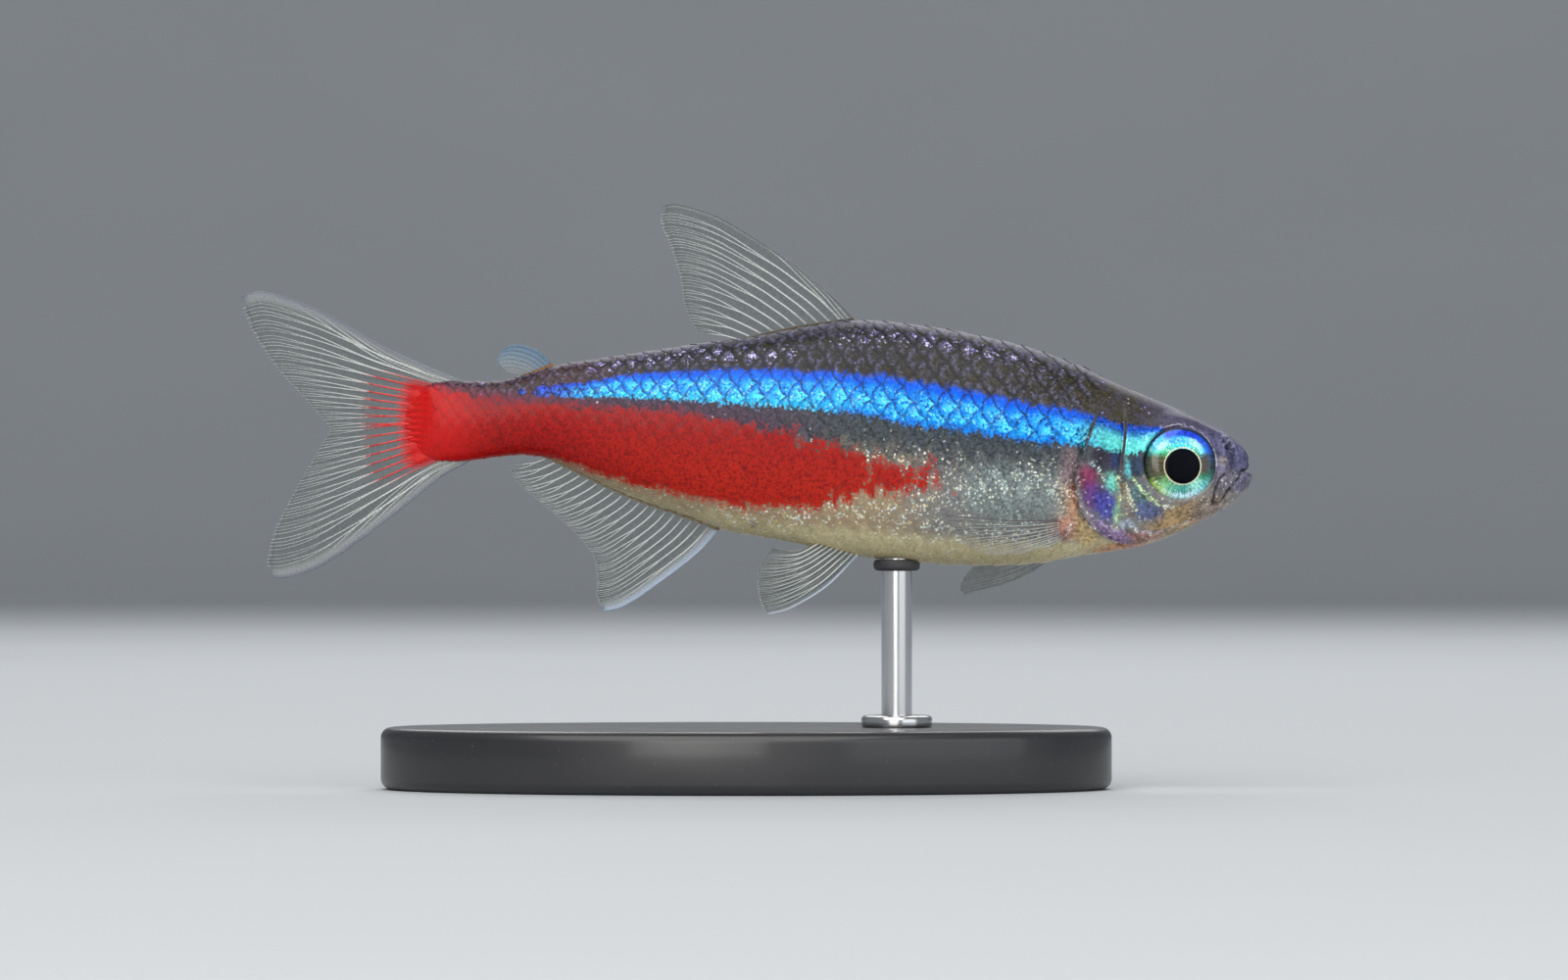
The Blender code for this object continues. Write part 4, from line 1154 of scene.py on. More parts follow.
def make_iris_material(sizes):
    material, build, shader = new_material(
        "tetra_iris", Coat_Weight=0.6, Coat_Roughness=0.03, IOR=1.38, Emission_Strength=0.16
    )
    place = build.add("SeparateXYZ", {"Vector": build.place()}, "X")

    def offset(x, z):
        """How far forward and up from a point it is, and how far in all."""
        ahead, up = place - x * MM, place["Z"] - z * MM
        return ahead, up, (ahead * ahead + up * up) ** 0.5

    ahead, up, radius = offset(*PUPIL_CENTRE)
    part = offset(EYE_CENTRE[0], EYE_CENTRE[2])[2] * (1 / sizes.iris_radius)
    grain = build.group("fine_grain", Mottle_Scale=7000.0, Sparkle_Scale=19000.0)
    mottle = grain["Mottle"]
    angle = build.math("ARCTAN2", up, ahead)
    spoke = build.add("CombineXYZ", {"X": angle * 9.0, "Y": part * 3.0})
    streak = build.noise(spoke, 1.6, 4.0, 0.6)
    speck = (mottle - 0.5) + (streak - 0.5)
    share = speck * 0.022 + (angle * (1 / math.tau) + 0.5)
    outer, middle, inner = (share.stops(table) for table in IRIS_RINGS)
    reach = speck * 0.10 + part
    ring = build.mix(reach.ramp(0.60, 0.68), inner, middle)
    ring = build.mix(reach.ramp(0.76, 0.86), ring, outer)
    # Painted glints on the ring's brighter parts
    shine = build.add("RGBToBW", {"Color": ring}).ramp(0.10, 0.45)
    ring = build.dim(ring, (speck * 0.5 + streak).ramp(0.30, 0.68, 0.55, 1.25))
    ring = build.mix(grain["Sparkle"].ramp(0.70, 1.0) * shine * 0.6, ring, (0.72, 0.97, 0.98))
    pupil = sizes.pupil_radius
    gold = radius.ramp(pupil * 0.98, pupil * 1.03) * radius.ramp(pupil * 1.085, pupil * 1.03)
    golden = build.mix(streak.ramp(0.35, 0.65), (0.62, 0.50, 0.28), (0.92, 0.86, 0.66))
    ring = build.mix(gold, ring, golden)
    ring = build.mix(radius.ramp(pupil, pupil * 0.96), ring, (0.004, 0.004, 0.006))
    ring = build.mix(part.ramp(0.965, 1.0), ring, (0.010, 0.020, 0.030))
    socket = build.mix(mottle, (0.10, 0.078, 0.17), (0.24, 0.19, 0.34))
    ring = build.mix(part.ramp(1.02, 1.06), ring, socket)
    # The ring also glows by emission: painted light for the iris's shine
    build.fill(
        shader,
        Base_Color=ring,
        Emission_Color=ring,
        Metallic=mottle.ramp(0.3, 0.7, 0.25, 0.6),
        Roughness=mottle.ramp(0.3, 0.7, 0.2, 0.38),
        Normal=build.bump(grain["Height"], 0.3, 0.03),
    )
    return material


def make_lens_material():
    material, build, shader = new_material("tetra_pupil", Roughness=0.25, IOR=1.12)
    mottle = build.group("fine_grain", Mottle_Scale=1500.0)["Mottle"]
    colour = build.mix(mottle, (0.001, 0.001, 0.002), (0.004, 0.005, 0.009))
    build.fill(shader, Base_Color=colour)
    return material


# The fish


def ring_places(count):
    """Places along the stations for the skin's rings, close together on the head."""
    fine = np.linspace(0, LAST_STATION, 4000)
    table = between(STATIONS, fine)
    middle = (table[:, :2] + table[:, 2:4]) / 2
    steps = np.linalg.norm(np.diff(middle, axis=0), axis=1)
    spacing = np.interp(middle[1:, 0], (9.8, 11.2, 16.2, 16.6), (0.19, 0.055, 0.055, 0.036))
    need = np.concatenate(([0.0], np.cumsum(steps / spacing + 0.004)))
    cap = np.linspace(-1, 0, 13)[:-1]
    return np.concatenate((cap, np.interp(np.linspace(0, need[-1], count - 12), need, fine)))


class TETRA_OT_skin(Operator):
    """One closed skin over the head, jaw, trunk and tail stem"""

    bl_idname = "tetra.skin"
    bl_label = "Skin"

    def execute(self, context):
        make_grain_and_glint_group()
        make_marking_group()
        make_fin_group()
        rings, sides = 314, 272
        skin, points = add_ball("fish_skin", sides, rings)
        ring = np.rint(np.arccos(np.clip(points[:, 2], -1, 1)) / math.pi * rings).astype(int)
        place = ring_places(rings + 1)[rings - ring]
        around = np.arctan2(points[:, 1], points[:, 0])
        dressed, solid = skin_points(place, around)
        keep_values(skin.data, paint(solid))
        reshape(skin, dressed)
        wear(skin, make_skin_material("tetra_skin"))
        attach(skin, "root")
        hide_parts("head", "lower_jaw", "trunk", "tail_stem")
        return {"FINISHED"}


def arc_table(places, angles):
    """How far round the body each angle lies from the widest level, at each place."""
    points = body_point(places[:, None], angles[None, :])
    steps = np.linalg.norm(np.diff(points, axis=1), axis=2)
    reach = np.concatenate((np.zeros((len(places), 1)), np.cumsum(steps, axis=1)), axis=1)
    middle = np.argmin(np.abs(angles))
    return reach - reach[:, middle : middle + 1]


class TETRA_OT_scales(Operator):
    """Overlapping scales over the trunk and the tail stem, one joined mesh a side"""

    bl_idname = "tetra.scales"
    bl_label = "Scales"

    def execute(self, context):
        sizes = context.scene.tetra_sizes
        material = make_skin_material("tetra_scale")
        for side, word in SIDES:
            plates = self.plates(side, sizes.scale_pitch / MM, sizes.scale_row / MM)
            scales = self.join(f"scales_{word}", plates)
            shade(scales)
            wear(scales, material)
            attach(scales, "root")
        return {"FINISHED"}

    def plates(self, side, pitch, row_step):
        """For each scale its two faces as grids of points, and its values."""
        fine = np.linspace(0, LAST_STATION, 1200)
        reach = travelled(body_point(fine, np.zeros_like(fine)))
        angles = np.radians(np.linspace(-90, 90, 181))
        arcs = arc_table(fine, angles)
        random = np.random.default_rng(7 if side < 0 else 8)
        out, s = np.meshgrid(np.linspace(-1, 1, 5), np.linspace(-1, 1, 6), indexing="ij")
        back, wide = -out * np.sqrt(1 - s * s / 2), s * np.sqrt(1 - out * out / 2)
        size = np.interp(reach, (0.0, 5.5, 12.0, 20.0, 24.0), (0.64, 0.70, 0.94, 1.0, 0.92))
        steps = np.diff(reach) / (pitch / 2 * (size[1:] + size[:-1]) / 2)
        columns = np.concatenate(([0.0], np.cumsum(steps)))
        plates = []
        for column in range(1, int(columns[-1])):
            along = float(np.interp(column, columns, reach))
            index = int(np.searchsorted(reach, along))
            if body_point(fine[index : index + 1], np.array([0.0]))[0, 0] > LAST_SCALE_X:
                break
            arc, shrink = arcs[index], size[index]
            step = row_step * shrink
            half, length = row_step * 1.10 * shrink, pitch * 0.70 * shrink
            for row in range(int(arc[0] / step) - 1, int(arc[-1] / step) + 2):
                middle = row * step
                if (row + column) % 2 or not arc[0] - 0.1 < middle < arc[-1] + 0.1:
                    continue
                jitter = random.normal(0, 0.018, 2)
                if along < length * 0.9:
                    continue
                across = middle + wide * half + jitter[1]
                place = np.interp(along + back * length + jitter[0], reach, fine)
                around = np.interp(across, arc, angles)
                around = around if side > 0 else math.pi - around
                solid, normal = body_surface(place, around)
                if behind_gill(solid[..., 0].max(), solid[0, 2, 2]):
                    continue
                lift = -COAT_DEPTH + 0.012 - 0.028 * back + 0.012 * (1 - wide * wide)
                top = solid + normal * lift[..., None]
                rim = np.where(back < 0.3, np.hypot(back, wide), 0.0)
                root = (fine[index] / LAST_STATION, (around.mean() / math.tau) % 1.0)
                patch = np.clip(root, 0.01, 0.99) + np.stack((out, s), -1) * 0.0015
                own = np.full(out.shape, random.random())
                plates.append((top, top - normal * 0.020, rim, own, patch, solid))
        return plates

    def join(self, name, plates):
        """One object of all the scales, with a small patch of its own layout for each."""
        many, (tall, wide) = len(plates), plates[0][3].shape
        each = tall * wide
        tables = [np.array(table).reshape(many, each, -1) for table in zip(*plates)]
        tops, bottoms, rims, owns, patches, solids = tables
        template = plate_faces(tall, wide)
        faces = (template[None] + (np.arange(many) * each * 2)[:, None, None]).reshape(-1, 4)

        def both(upper, lower=None):
            lower = upper if lower is None else lower
            return np.concatenate((upper, lower), 1).reshape(many * each * 2, -1)

        values = paint(both(solids))
        values.update(rim=both(rims)[:, 0], tint=both(owns)[:, 0])
        scales = new_piece(name, both(tops, bottoms), faces, values)
        corner = np.empty(len(scales.data.loops), np.int32)
        scales.data.loops.foreach_get("vertex_index", corner)
        layer = scales.data.uv_layers.new(name="OFBake")
        layer.data.foreach_set("uv", both(patches)[corner].astype(np.float32).ravel())
        return scales


def behind_gill(x, z):
    """True for a place of the side view that the gill cover or the head takes up."""
    edge = behind_line(0.0, z, GILL_EDGE) + max(0.0, z - SHOULDER) * SHOULDER_SLOPE
    return x > edge - 0.02


class TETRA_OT_gill_covers(Operator):
    """A thin plate over each gill, free along its rear edge"""

    bl_idname = "tetra.gill_covers"
    bl_label = "Gill covers"

    def execute(self, context):
        material = make_skin_material("gill_cover_skin")
        tall, wide = 46, 26
        down = np.linspace(0, 1, tall)
        front, rear = (follow(dense(edge), down) for edge in (PREOPERCLE, GILL_EDGE))
        for side, word in SIDES:
            outer, inner = np.empty((2, tall * wide, 3))
            for at in range(tall * wide):
                i, share = at // wide, at % wide / (wide - 1)
                x, z = front[i] * (1 - share) + rear[i] * share
                place, normal = cast((x, side * 9, z), (0, -side, 0))
                normal = normal if normal.y * side > 0 else -normal
                height = self.height(share, down[i], x, z)
                outer[at] = place + normal * height
                inner[at] = place + normal * (height - 0.05 - 0.07 * (1 - share))
            values = paint(np.concatenate((outer, outer)))
            points = np.concatenate((outer, inner))
            cover = new_piece(f"gill_flap_{word}", points, plate_faces(tall, wide), values)
            wear(cover, material)
            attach(cover, "root")
            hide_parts(f"gill_cover_{word}")
        return {"FINISHED"}

    def height(self, share, down, x, z):
        """How far the cover stands out: sunk in front, swollen in the middle, with a lip."""
        rise = -0.10 + 0.13 * ease(0.0, 0.12, share) - 0.03 * ease(0.75, 1.0, share)
        swell = 0.05 * math.sin(math.pi * share) * math.sin(math.pi * down)
        seam = -0.03 * hump(line_distance(np.array(x), np.array(z), OPERCLE_SEAM), 0.035)
        lip = 0.03 * hump(share - 0.955, 0.03)
        ends = -0.05 * (ease(0.08, 0.0, down) + ease(0.92, 1.0, down))
        return float(rise + swell + seam + lip + ends)


class TETRA_OT_eyes(Operator):
    """Eyes seated in their orbits, with a shining iris and a black lens"""

    bl_idname = "tetra.eyes"
    bl_label = "Eyes"

    def execute(self, context):
        sizes = context.scene.tetra_sizes
        iris = make_iris_material(sizes)
        lens_look = make_lens_material()
        (x, y, z), (lens_x, lens_z) = EYE_CENTRE, PUPIL_CENTRE
        lens_y = y + LENS_OUT - (lens_x - x) * LENS_SLOPE
        for side, word in SIDES:
            centre = (x, side * y, z + EYEBALL_RISE)
            size = EYEBALL_RADIUS, EYEBALL_DEPTH
            eye = self.ball(f"eyeball_{word}", *size, 3.0, centre, side)
            wear(eye, iris)
            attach(eye, "root")
            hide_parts(f"eye_{word}")
            radius, centre = sizes.pupil_radius / MM, (lens_x, side * lens_y, lens_z)
            lens = self.ball(f"pupil_{word}", radius, LENS_DEPTH, 2.2, centre, side)
            wear(lens, lens_look)
            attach(lens, "root")
        return {"FINISHED"}

    def ball(self, name, radius, depth, fullness, centre, side):
        """A flattened ball whose face looks out of one side of the head.

        The higher the fullness, the flatter the face and the fuller its rim.
        """
        ball, points = add_ball(name, 72, 40)
        flat = np.hypot(points[:, 0], points[:, 1])
        height = np.sign(points[:, 2]) * (1 - np.clip(flat, 0, 1) ** fullness) ** (1 / fullness)
        points[:, :2] *= radius
        points[:, 2] = height * depth
        turn = Matrix.Rotation(-side * EYE_YAW, 3, "Z") @ Matrix.Rotation(side * EYE_PITCH, 3, "X")
        upright = Matrix.Rotation(-side * math.pi / 2, 3, "X")
        reshape(ball, points @ np.array(turn @ upright).T + np.array(centre))
        return ball


# The fins


class Fin:
    """A fin stretched between its root, leading edge, margin and trailing edge.

    A lean below 1 crowds the rays at the rear of the root, and hug above 1 keeps them
    straight, so that only the outer ones follow the fin's edges.
    """

    def __init__(self, outline, root, side=1, swing=0.0, lean=1.0, hug=1.0):
        leading, margin, trailing = (
            [p if len(p) == 3 else (p[0], 0.0, p[1]) for p in outline[key]]
            for key in ("leading", "margin", "trailing")
        )
        leading, trailing = [root[0], *leading], [root[-1], *trailing]
        margin = [leading[-1], *margin, trailing[-1]]
        self.edges = [dense(edge) for edge in (root, leading, margin, trailing)]
        self.corners = np.array((root[0], root[-1], leading[-1], trailing[-1]), float)
        self.side, self.swing, self.lean, self.hug = side, swing, lean, hug

    def points(self, u, v):
        """u runs back from the leading edge, v out from the root."""
        u, v = np.broadcast_arrays(u, v)
        shares = (u**self.lean, v, u, v)
        root, leading, margin, trailing = map(follow, self.edges, shares)
        first, last, tip, low_tip = self.corners
        u, v = u[..., None], v[..., None]
        bow = leading - first * (1 - v) - tip * v
        sag = trailing - last * (1 - v) - low_tip * v
        flat = root * (1 - v) + margin * v + bow * (1 - u) ** self.hug + sag * u**self.hug
        turn = np.array(Matrix.Rotation(self.swing, 3, "Y"))
        return ((flat - first) @ turn.T + first) * np.array((1, self.side, 1))

    def surface(self, u, v):
        u, v = np.broadcast_arrays(np.asarray(u, float), np.asarray(v, float))
        step = 0.01
        across = self.points(np.clip(u + step, 0, 1), v) - self.points(np.clip(u - step, 0, 1), v)
        outward = self.points(u, np.clip(v + step, 0, 1)) - self.points(u, np.clip(v - step, 0, 1))
        return self.points(u, v), unit(np.cross(outward, across))


def ray_lines(rays, seed, branches, short):
    """Each ray of a fin with its branches: where it starts and ends, its path and its girth.

    Short rays run out into the leading edge one after the other.
    """
    random = np.random.default_rng(seed)
    lines = []
    gap = 0.985 / max(rays - 1, 1)
    for index in range(short):
        start = gap * (0.40 + 0.45 * index)
        end = 0.30 + 0.11 * index
        lines.append((0.0, end, ((0.0, start), (end, 0.004), (1.0, 0.004)), 0.62))
    for index in range(rays):
        u = 0.006 + 0.985 * index / max(rays - 1, 1)
        if index < 1 or branches == 0:
            lines.append((0.0, 1.0, ((0.0, u), (1.0, u)), 0.95))
            continue
        first = 0.42 + 0.06 * random.random()
        second = 0.70 + 0.06 * random.random()
        lines.append((0.0, first, ((0.0, u), (1.0, u)), 1.0))
        for way in (-1, 1):
            mid = u + way * gap * 0.22
            path = ((0.0, u), (first - 0.04, u), (first + 0.22, mid), (1.0, mid))
            lines.append((first - 0.04, second, path, 0.72))
            for turn in (-1, 1):
                end = mid + turn * gap * 0.115
                fork = ((0.0, mid), (second - 0.04, mid), (second + 0.16, end), (1.0, end))
                lines.append((second - 0.04, 1.0, fork, 0.5))
    return lines


def build_fin(
    name, fins, rays, seeds, looks, columns=4, tall=26, branches=2, girths=1.0, foot=0.0, short=0
):
    """One piece: the clear membrane with its rays standing out on both faces.

    The foot is half the thickness of the flesh that the fin grows out of.
    """
    sizes = bpy.context.scene.tetra_sizes
    points, faces, kinds = [], [], []
    values = {"fin_out": [], "fin_across": [], "fin_mm": []}
    for fin, count, seed in zip(fins, rays, seeds):
        random = np.random.default_rng(seed)
        shares = np.linspace(0, 1, 20)
        tips = fin.points(shares, np.ones(20)) - fin.points(shares, np.zeros(20))
        lengths = np.linalg.norm(tips, axis=1)

        def keep(new_points, new_faces, kind, out, across):
            used = sum(map(len, points))
            points.append(new_points)
            faces.extend([[int(i) + used for i in f] for f in new_faces])
            kinds.extend([kind] * len(new_faces))
            values["fin_out"].append(out)
            values["fin_across"].append(across)
            values["fin_mm"].append(out * np.interp(across, shares, lengths))

        def folded(middle, normal, u, v):
            """The middle of the fin with its pleats."""
            pleat = PLEAT_DEPTH * np.sin(2 * math.pi * (count - 1) * u * 0.5 + seed)
            return middle + normal * (pleat * np.sin(math.pi * v) ** 0.5)[..., None]

        def flesh(u, v):
            return foot * ease(0.26, 0.0, v) * (0.25 + 0.75 * ease(0.0, 0.30, u))

        wide = count * columns + 1
        u = np.linspace(0, 1, wide)[None, :]
        v = np.linspace(0, 1, tall)[:, None]
        notch = 0.006 + 0.011 * (0.5 - 0.5 * np.cos(2 * math.pi * (count - 1) * u))
        notch = notch + 0.006 * random.random(wide)[None, :]
        middle, normal = fin.surface(u, v * (1 - notch))
        middle = folded(middle, normal, u, v)
        half = (sizes.membrane / MM * (0.5 + 1.1 * (1 - v) ** 3) + flesh(u, v))[..., None]
        both = np.concatenate((middle + normal * half, middle - normal * half)).reshape(-1, 3)
        out, across = (np.tile(np.broadcast_to(a, (tall, wide)).ravel(), 2) for a in (v, u))
        keep(both, plate_faces(tall, wide), 0, out, across)
        for start, end, path, girth in ray_lines(count, seed, branches, short):
            steps = max(5, int((end - start) * 30))
            v = np.linspace(start, end, steps)
            share = np.interp(v, *np.array(path).T)
            smooth = np.convolve(np.pad(share, 2, mode="edge"), np.ones(5) / 5, "valid")
            u = np.clip(smooth, 0.002, 0.998)
            middle, normal = fin.surface(u, v)
            middle = folded(middle, normal, u, v)
            width = sizes.ray_width / MM / 2 * girths * girth * (1 - 0.55 * v)
            thick = width * (1.05 - 0.25 * v) + 0.012 + flesh(u, v)
            made, walls = tube(middle, normal, width, thick)
            sides = len(made) // steps
            keep(made, walls, 1, np.repeat(v, sides), np.repeat(u, sides))
    values = {key: np.concatenate(data) for key, data in values.items()}
    piece = new_piece(name, np.concatenate(points), faces, values)
    wear(piece, *looks)
    piece.data.polygons.foreach_set("material_index", kinds)
    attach(piece, "root")
    return piece


def back_root(outline):
    return [(x, 0.0, cast((x, 0, 30), (0, 0, -1))[0].z - FIN_ROOT_SINK) for x in outline["root"]]


def belly_root(outline):
    points = [p if isinstance(p, tuple) else (p, 0.0) for p in outline["root"]]
    return [(x, y, cast((x, y, 0), (0, 0, 1))[0].z + FIN_ROOT_SINK) for x, y in points]


def flank_root(outline):
    return [(x, cast((x, 9, z), (0, -1, 0))[0].y - FIN_ROOT_SINK, z) for x, z in outline["root"]]


class TETRA_OT_tail_fin(Operator):
    """The forked tail fin, in one piece"""

    bl_idname = "tetra.tail_fin"
    bl_label = "Tail fin"

    def execute(self, context):
        rays = context.scene.tetra_sizes.tail_rays
        halves = [
            Fin(outline, [(x, 0.0, z) for x, z in outline["root"]], lean=0.72, hug=2.6)
            for outline in (TAIL_UPPER, TAIL_LOWER)
        ]
        looks = make_fin_materials(
            "tail_fin", TAIL_TINT, 2.9, (0.25, 0.26, 0.31), 0.085, 46.0, web=0.50, bare=0.46
        )
        tail = build_fin(
            "tail_fin", halves, (rays, rays), (3, 4), looks, tall=36, foot=0.05, short=6
        )
        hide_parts("fin_tail_upper", "fin_tail_lower")
        return {"FINISHED"}


class TETRA_OT_midline_fins(Operator):
    """The dorsal, adipose and anal fins"""

    bl_idname = "tetra.midline_fins"
    bl_label = "Dorsal, adipose and anal fins"

    def execute(self, context):
        sizes = context.scene.tetra_sizes
        dorsal = ((0.13, 0.09, 0.035), 0.32, (0.1, 0.1, 0.12), 0.03)
        adipose = ((0.36, 0.18, 0.08), 0.30, (0.15, 0.25, 0.36), 1.5)
        anal = ((0.34, 0.25, 0.12), 0.28, (0.52, 0.62, 0.78), 0.07)
        small = {"columns": 2, "tall": 14, "branches": 0, "girths": 0.4}
        for name, outline, sink, rays, seed, tint, shape in (
            ("dorsal", DORSAL_FIN, back_root, sizes.dorsal_rays, 5, dorsal, {"short": 3}),
            ("adipose", ADIPOSE_FIN, back_root, 16, 6, adipose, small),
            ("anal", ANAL_FIN, belly_root, sizes.anal_rays, 9, anal, {"short": 3}),
        ):
            looks = make_fin_materials(f"{name}_fin", *tint)
            fin = Fin(outline, sink(outline))
            piece = build_fin(f"{name}_fin", [fin], [rays], [seed], looks, **shape)
            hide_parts(f"fin_{name}")
        return {"FINISHED"}


class TETRA_OT_paired_fins(Operator):
    """The two pectoral and the two pelvic fins"""

    bl_idname = "tetra.paired_fins"
    bl_label = "Paired fins"

    def execute(self, context):
        rays = context.scene.tetra_sizes.paired_rays
        base = (0.50, 0.22, 0.17)
        dark = make_fin_materials("pectoral_fin", base, 0.45, (0.10, 0.07, 0.10), 0.05, clear=0.34)
        pale = make_fin_materials("low_pectoral_fin", base, 0.30, (0.52, 0.56, 0.60), 0.05)
        looks = make_fin_materials("pelvic_fin", (0.50, 0.40, 0.22), 0.25, (0.56, 0.64, 0.76), 0.06)
        near = Fin(PECTORAL_RIGHT, flank_root(PECTORAL_RIGHT), -1)
        far = Fin(PECTORAL_LEFT, flank_root(PECTORAL_LEFT))
        pelvic = (PELVIC_RIGHT, belly_root(PELVIC_RIGHT))
        for name, fin, count, seed, look, girths in (
            ("pectoral_right", near, rays + 2, 11, dark, 0.75),
            ("pectoral_left", far, rays + 2, 12, pale, 0.75),
            ("pelvic_right", Fin(*pelvic, -1), rays, 13, looks, 0.9),
            ("pelvic_left", Fin(*pelvic, 1, PELVIC_LEFT_SWING), rays, 15, looks, 0.9),
        ):
            piece = build_fin(name, [fin], [count], [seed], look, tall=20, girths=girths)
            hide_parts(f"fin_{name}")
        return {"FINISHED"}


# The stand and the stage


def add_round(name, radius, low, high, x, width=0.0, segments=4, sides=64, scale=(1, 1, 1)):
    """An upright round piece between two heights, with its sharp edges rounded by a width."""
    bpy.ops.object.select_all(action="DESELECT")
    bpy.ops.mesh.primitive_cylinder_add(
        vertices=sides, radius=radius, depth=high - low, location=(x, 0, (low + high) / 2)
    )
    made = bpy.context.object
    made.name, made.scale = name, scale
    settle(made)
    if width:
        soften(made, width * MM, segments)
    shade(made)
    return made


class TETRA_OT_stand(Operator):
    """An oval base with a slim rod in a collar, and a soft cup under the belly"""

    bl_idname = "tetra.stand"
    bl_label = "Stand"

    def execute(self, context):
        stand = context.scene.tetra_stand
        low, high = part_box("stand_rod")
        x = (low[0] + high[0]) / 2
        top, radius = stand.base_height, stand.rod_radius
        belly = cast((x / MM, 0, 0), (0, 0, 1))[0].z * MM
        oval = (stand.base_length, stand.base_width, 1.0)
        base = add_round("display_base", 0.5, 0, top, 0, 0.38, 6, 160, oval)
        rod = add_round("display_rod", radius, top - 0.3 * MM, belly + 0.10 * MM, x)
        collar_ends = top - 0.05 * MM, top + 0.42 * MM
        collar = add_round("rod_collar", 2.3 * radius, *collar_ends, x, 0.16)
        cup_ends = belly - 0.34 * MM, belly + 0.06 * MM
        cup = add_round("belly_cup", 1.5 * radius, *cup_ends, x, 0.14)
        steel = self.steel_material()
        wear(base, self.base_material(stand))
        wear(rod, steel)
        wear(collar, steel)
        wear(cup, self.cup_material())
        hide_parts("stand_base")
        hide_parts("stand_rod")
        for piece in (base, rod, collar, cup):
            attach(piece, "root")
        return {"FINISHED"}

    def base_material(self, stand):
        material, build, shader = new_material("base_black", Coat_Weight=0.35, Coat_Roughness=0.12)
        cloud = build.noise(build.place(), 260.0, 5.0)
        dust = build.noise(build.place(), 5200.0, 2.0).ramp(0.66, 0.80)
        colour = build.mix(dust * 0.10, stand.base_colour[:], (0.35, 0.34, 0.33))
        build.fill(
            shader,
            Base_Color=build.mix(cloud * 0.25, colour, (0.035, 0.035, 0.04)),
            Roughness=cloud.ramp(0.3, 0.7, 0.30, 0.42),
            Normal=build.bump(build.noise(build.place(), 9000.0), 0.06, 0.02),
        )
        return material

    def steel_material(self):
        material, build, shader = new_material("rod_steel", Metallic=1.0)
        streak = build.noise(build.stretched(0.04), 5200.0, 3.0)
        build.fill(
            shader,
            Base_Color=build.mix(streak, (0.60, 0.60, 0.61), (0.68, 0.68, 0.69)),
            Roughness=streak.ramp(0.3, 0.7, 0.15, 0.21),
            Normal=build.bump(streak, 0.03, 0.01),
        )
        return material

    def cup_material(self):
        material, build, shader = new_material("cup_rubber")
        mottle = build.noise(build.place(), 6000.0)
        colour = build.mix(mottle, (0.02, 0.02, 0.022), (0.05, 0.05, 0.055))
        build.fill(shader, Base_Color=colour, Roughness=mottle.ramp(0.3, 0.7, 0.5, 0.7))
        return material


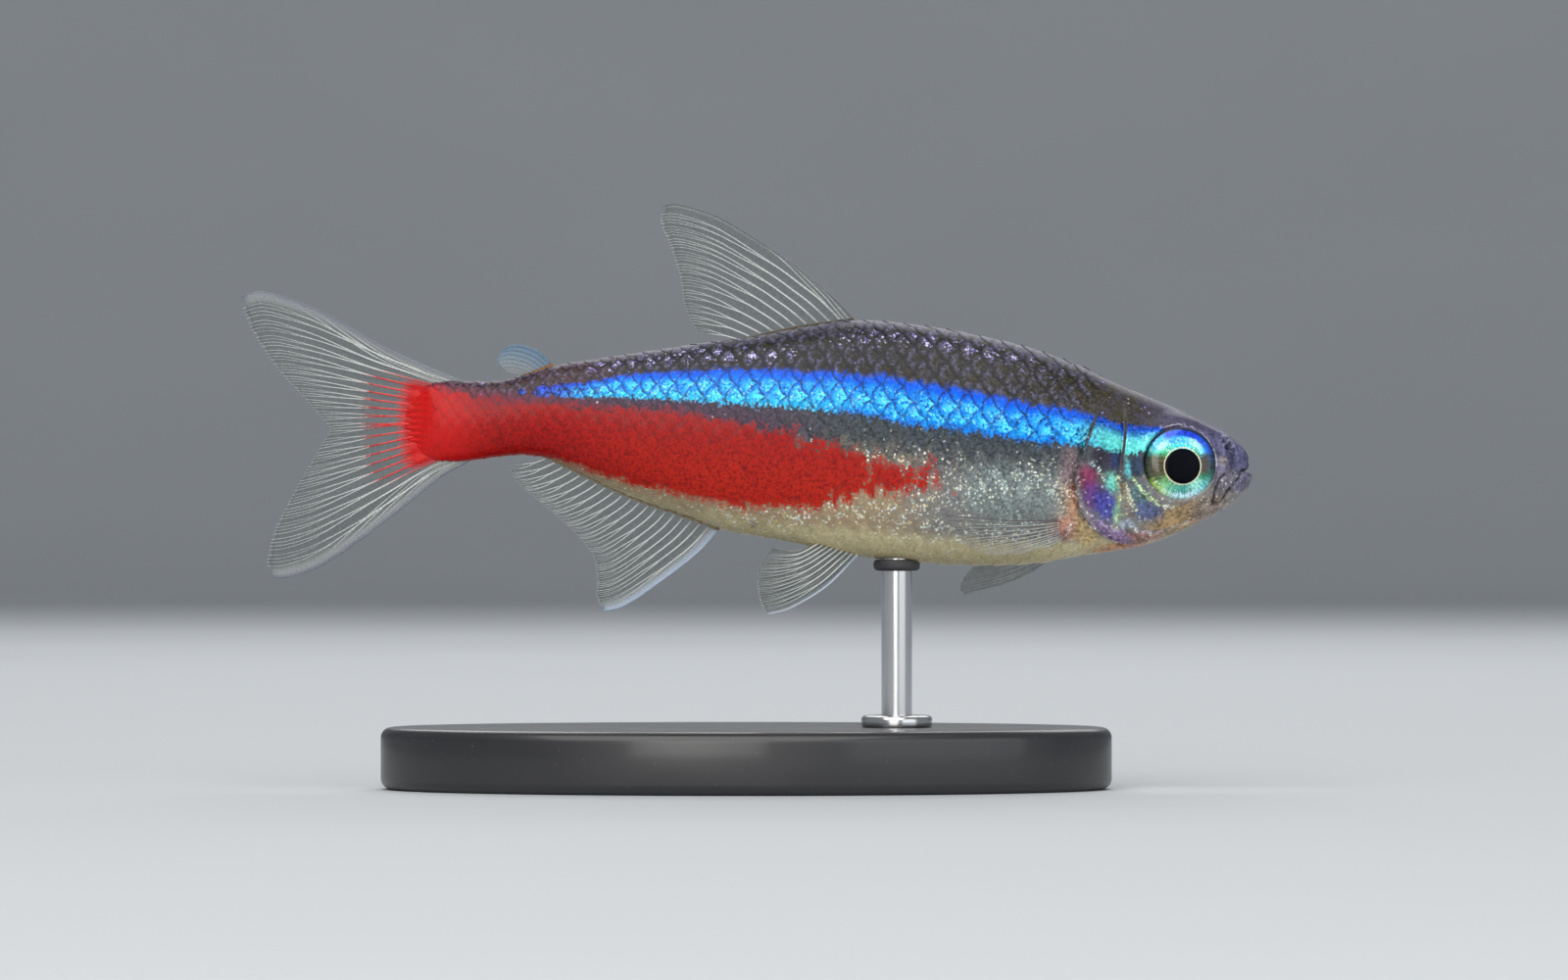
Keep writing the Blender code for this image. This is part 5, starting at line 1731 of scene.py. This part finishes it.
class TETRA_OT_stage(Operator):
    """A pale floor that curves up behind, soft studio lights and the camera"""

    bl_idname = "tetra.stage"
    bl_label = "Stage"

    def execute(self, context):
        bpy.ops.object.select_all(action="DESELECT")
        bpy.ops.mesh.primitive_plane_add(size=FLOOR_WIDTH, location=FLOOR_MIDDLE)
        floor = context.object
        floor.name = "pale_floor"
        settle(floor)
        bpy.ops.object.mode_set(mode="EDIT")
        bpy.ops.mesh.select_all(action="DESELECT")
        bpy.ops.object.mode_set(mode="OBJECT")
        for edge in floor.data.edges:
            edge.select = all(floor.data.vertices[i].co.y > 0 for i in edge.vertices)
        context.tool_settings.mesh_select_mode = (False, True, False)
        bpy.ops.object.mode_set(mode="EDIT")
        upwards = {"value": (0, 0, WALL_HEIGHT)}
        bpy.ops.mesh.extrude_region_move(TRANSFORM_OT_translate=upwards)
        bpy.ops.object.mode_set(mode="OBJECT")
        soften(floor, WALL_CURVE, 24)
        floor.data.shade_smooth()
        material, build, shader = new_material("floor_paper")
        cloud = build.noise(build.place(), 30.0, 6.0)
        colour = context.scene.tetra_stand.floor_colour[:]
        colour = build.mix(cloud, tuple(c * 0.94 for c in colour), colour)
        build.fill(shader, Base_Color=colour, Roughness=cloud.ramp(0.3, 0.7, 0.75, 0.9))
        wear(floor, material)
        self.lights(context)
        self.camera(context)
        return {"FINISHED"}

    def add(self, name, data, place):
        made = bpy.data.objects.new(name, data)
        made.location = place
        bpy.context.scene.collection.objects.link(made)
        return made

    def lights(self, context):
        # Name, place, size, power and colour
        soft = (
            ("key light", (-0.06, -0.26, 0.34), 0.42, 1.45, (1.0, 0.98, 0.95)),
            ("fill light", (0.30, -0.34, 0.08), 0.40, 0.60, (0.93, 0.97, 1.0)),
            ("low light", (-0.06, -0.38, 0.09), 0.17, 0.34, (1.0, 0.97, 0.93)),
            ("rim light", (0.02, 0.24, 0.26), 0.30, 0.60, (1.0, 1.0, 1.0)),
        )
        for name, place, size, power, colour in soft:
            data = bpy.data.lights.new(name, "AREA")
            data.size, data.energy, data.color = size, power, colour
            aim = Vector((0.0, 0.0, 0.012)) - Vector(place)
            light = self.add(name, data, place)
            light.rotation_euler = aim.to_track_quat("-Z", "Y").to_euler()
        world = bpy.data.worlds.new("studio")
        world.use_nodes = True
        background = world.node_tree.nodes["Background"]
        background.inputs["Color"].default_value = (0.80, 0.86, 0.92, 1.0)
        background.inputs["Strength"].default_value = 0.30
        context.scene.world = world

    def camera(self, context):
        data = bpy.data.cameras.new("photo camera")
        data.sensor_width = SENSOR_WIDTH
        data.lens = SENSOR_WIDTH * CAMERA_DISTANCE / (PHOTO_WIDTH * PHOTO_PIXEL * MM)
        data.clip_start, data.clip_end = 0.01, 5.0
        x, z = PHOTO_MIDDLE
        camera = self.add("photo camera", data, (x * MM, -CAMERA_DISTANCE, z * MM))
        camera.rotation_euler = (math.radians(90), 0, 0)
        context.scene.camera = camera
        context.scene.view_settings.view_transform = "Standard"


class TETRA_PT_panel(Panel):
    """Lists the pieces of the model"""

    bl_label = "Neon tetra"
    bl_idname = "TETRA_PT_panel"
    bl_space_type = "VIEW_3D"
    bl_region_type = "UI"
    bl_category = "Neon tetra"

    def draw(self, context):
        for key in SETTINGS:
            box, settings = self.layout.box(), getattr(context.scene, key)
            for name in settings.__annotations__:
                box.prop(settings, name)
        for operator in OPERATORS:
            self.layout.operator(operator.bl_idname)


SETTINGS = {
    "tetra_sizes": TetraSizes,
    "tetra_colours": TetraColours,
    "tetra_stand": TetraStand,
}
OPERATORS = (
    TETRA_OT_skin,
    TETRA_OT_scales,
    TETRA_OT_gill_covers,
    TETRA_OT_eyes,
    TETRA_OT_tail_fin,
    TETRA_OT_midline_fins,
    TETRA_OT_paired_fins,
    TETRA_OT_stand,
    TETRA_OT_stage,
)
CLASSES = (*SETTINGS.values(), *OPERATORS, TETRA_PT_panel)


def register():
    for cls in CLASSES:
        bpy.utils.register_class(cls)
    for key, settings in SETTINGS.items():
        setattr(bpy.types.Scene, key, PointerProperty(type=settings))


def unregister():
    for key in SETTINGS:
        delattr(bpy.types.Scene, key)
    for cls in reversed(CLASSES):
        bpy.utils.unregister_class(cls)


def main():
    register()
    for operator in OPERATORS:
        group, name = operator.bl_idname.split(".")
        getattr(getattr(bpy.ops, group), name)()


if __name__ == "__main__":
    main()
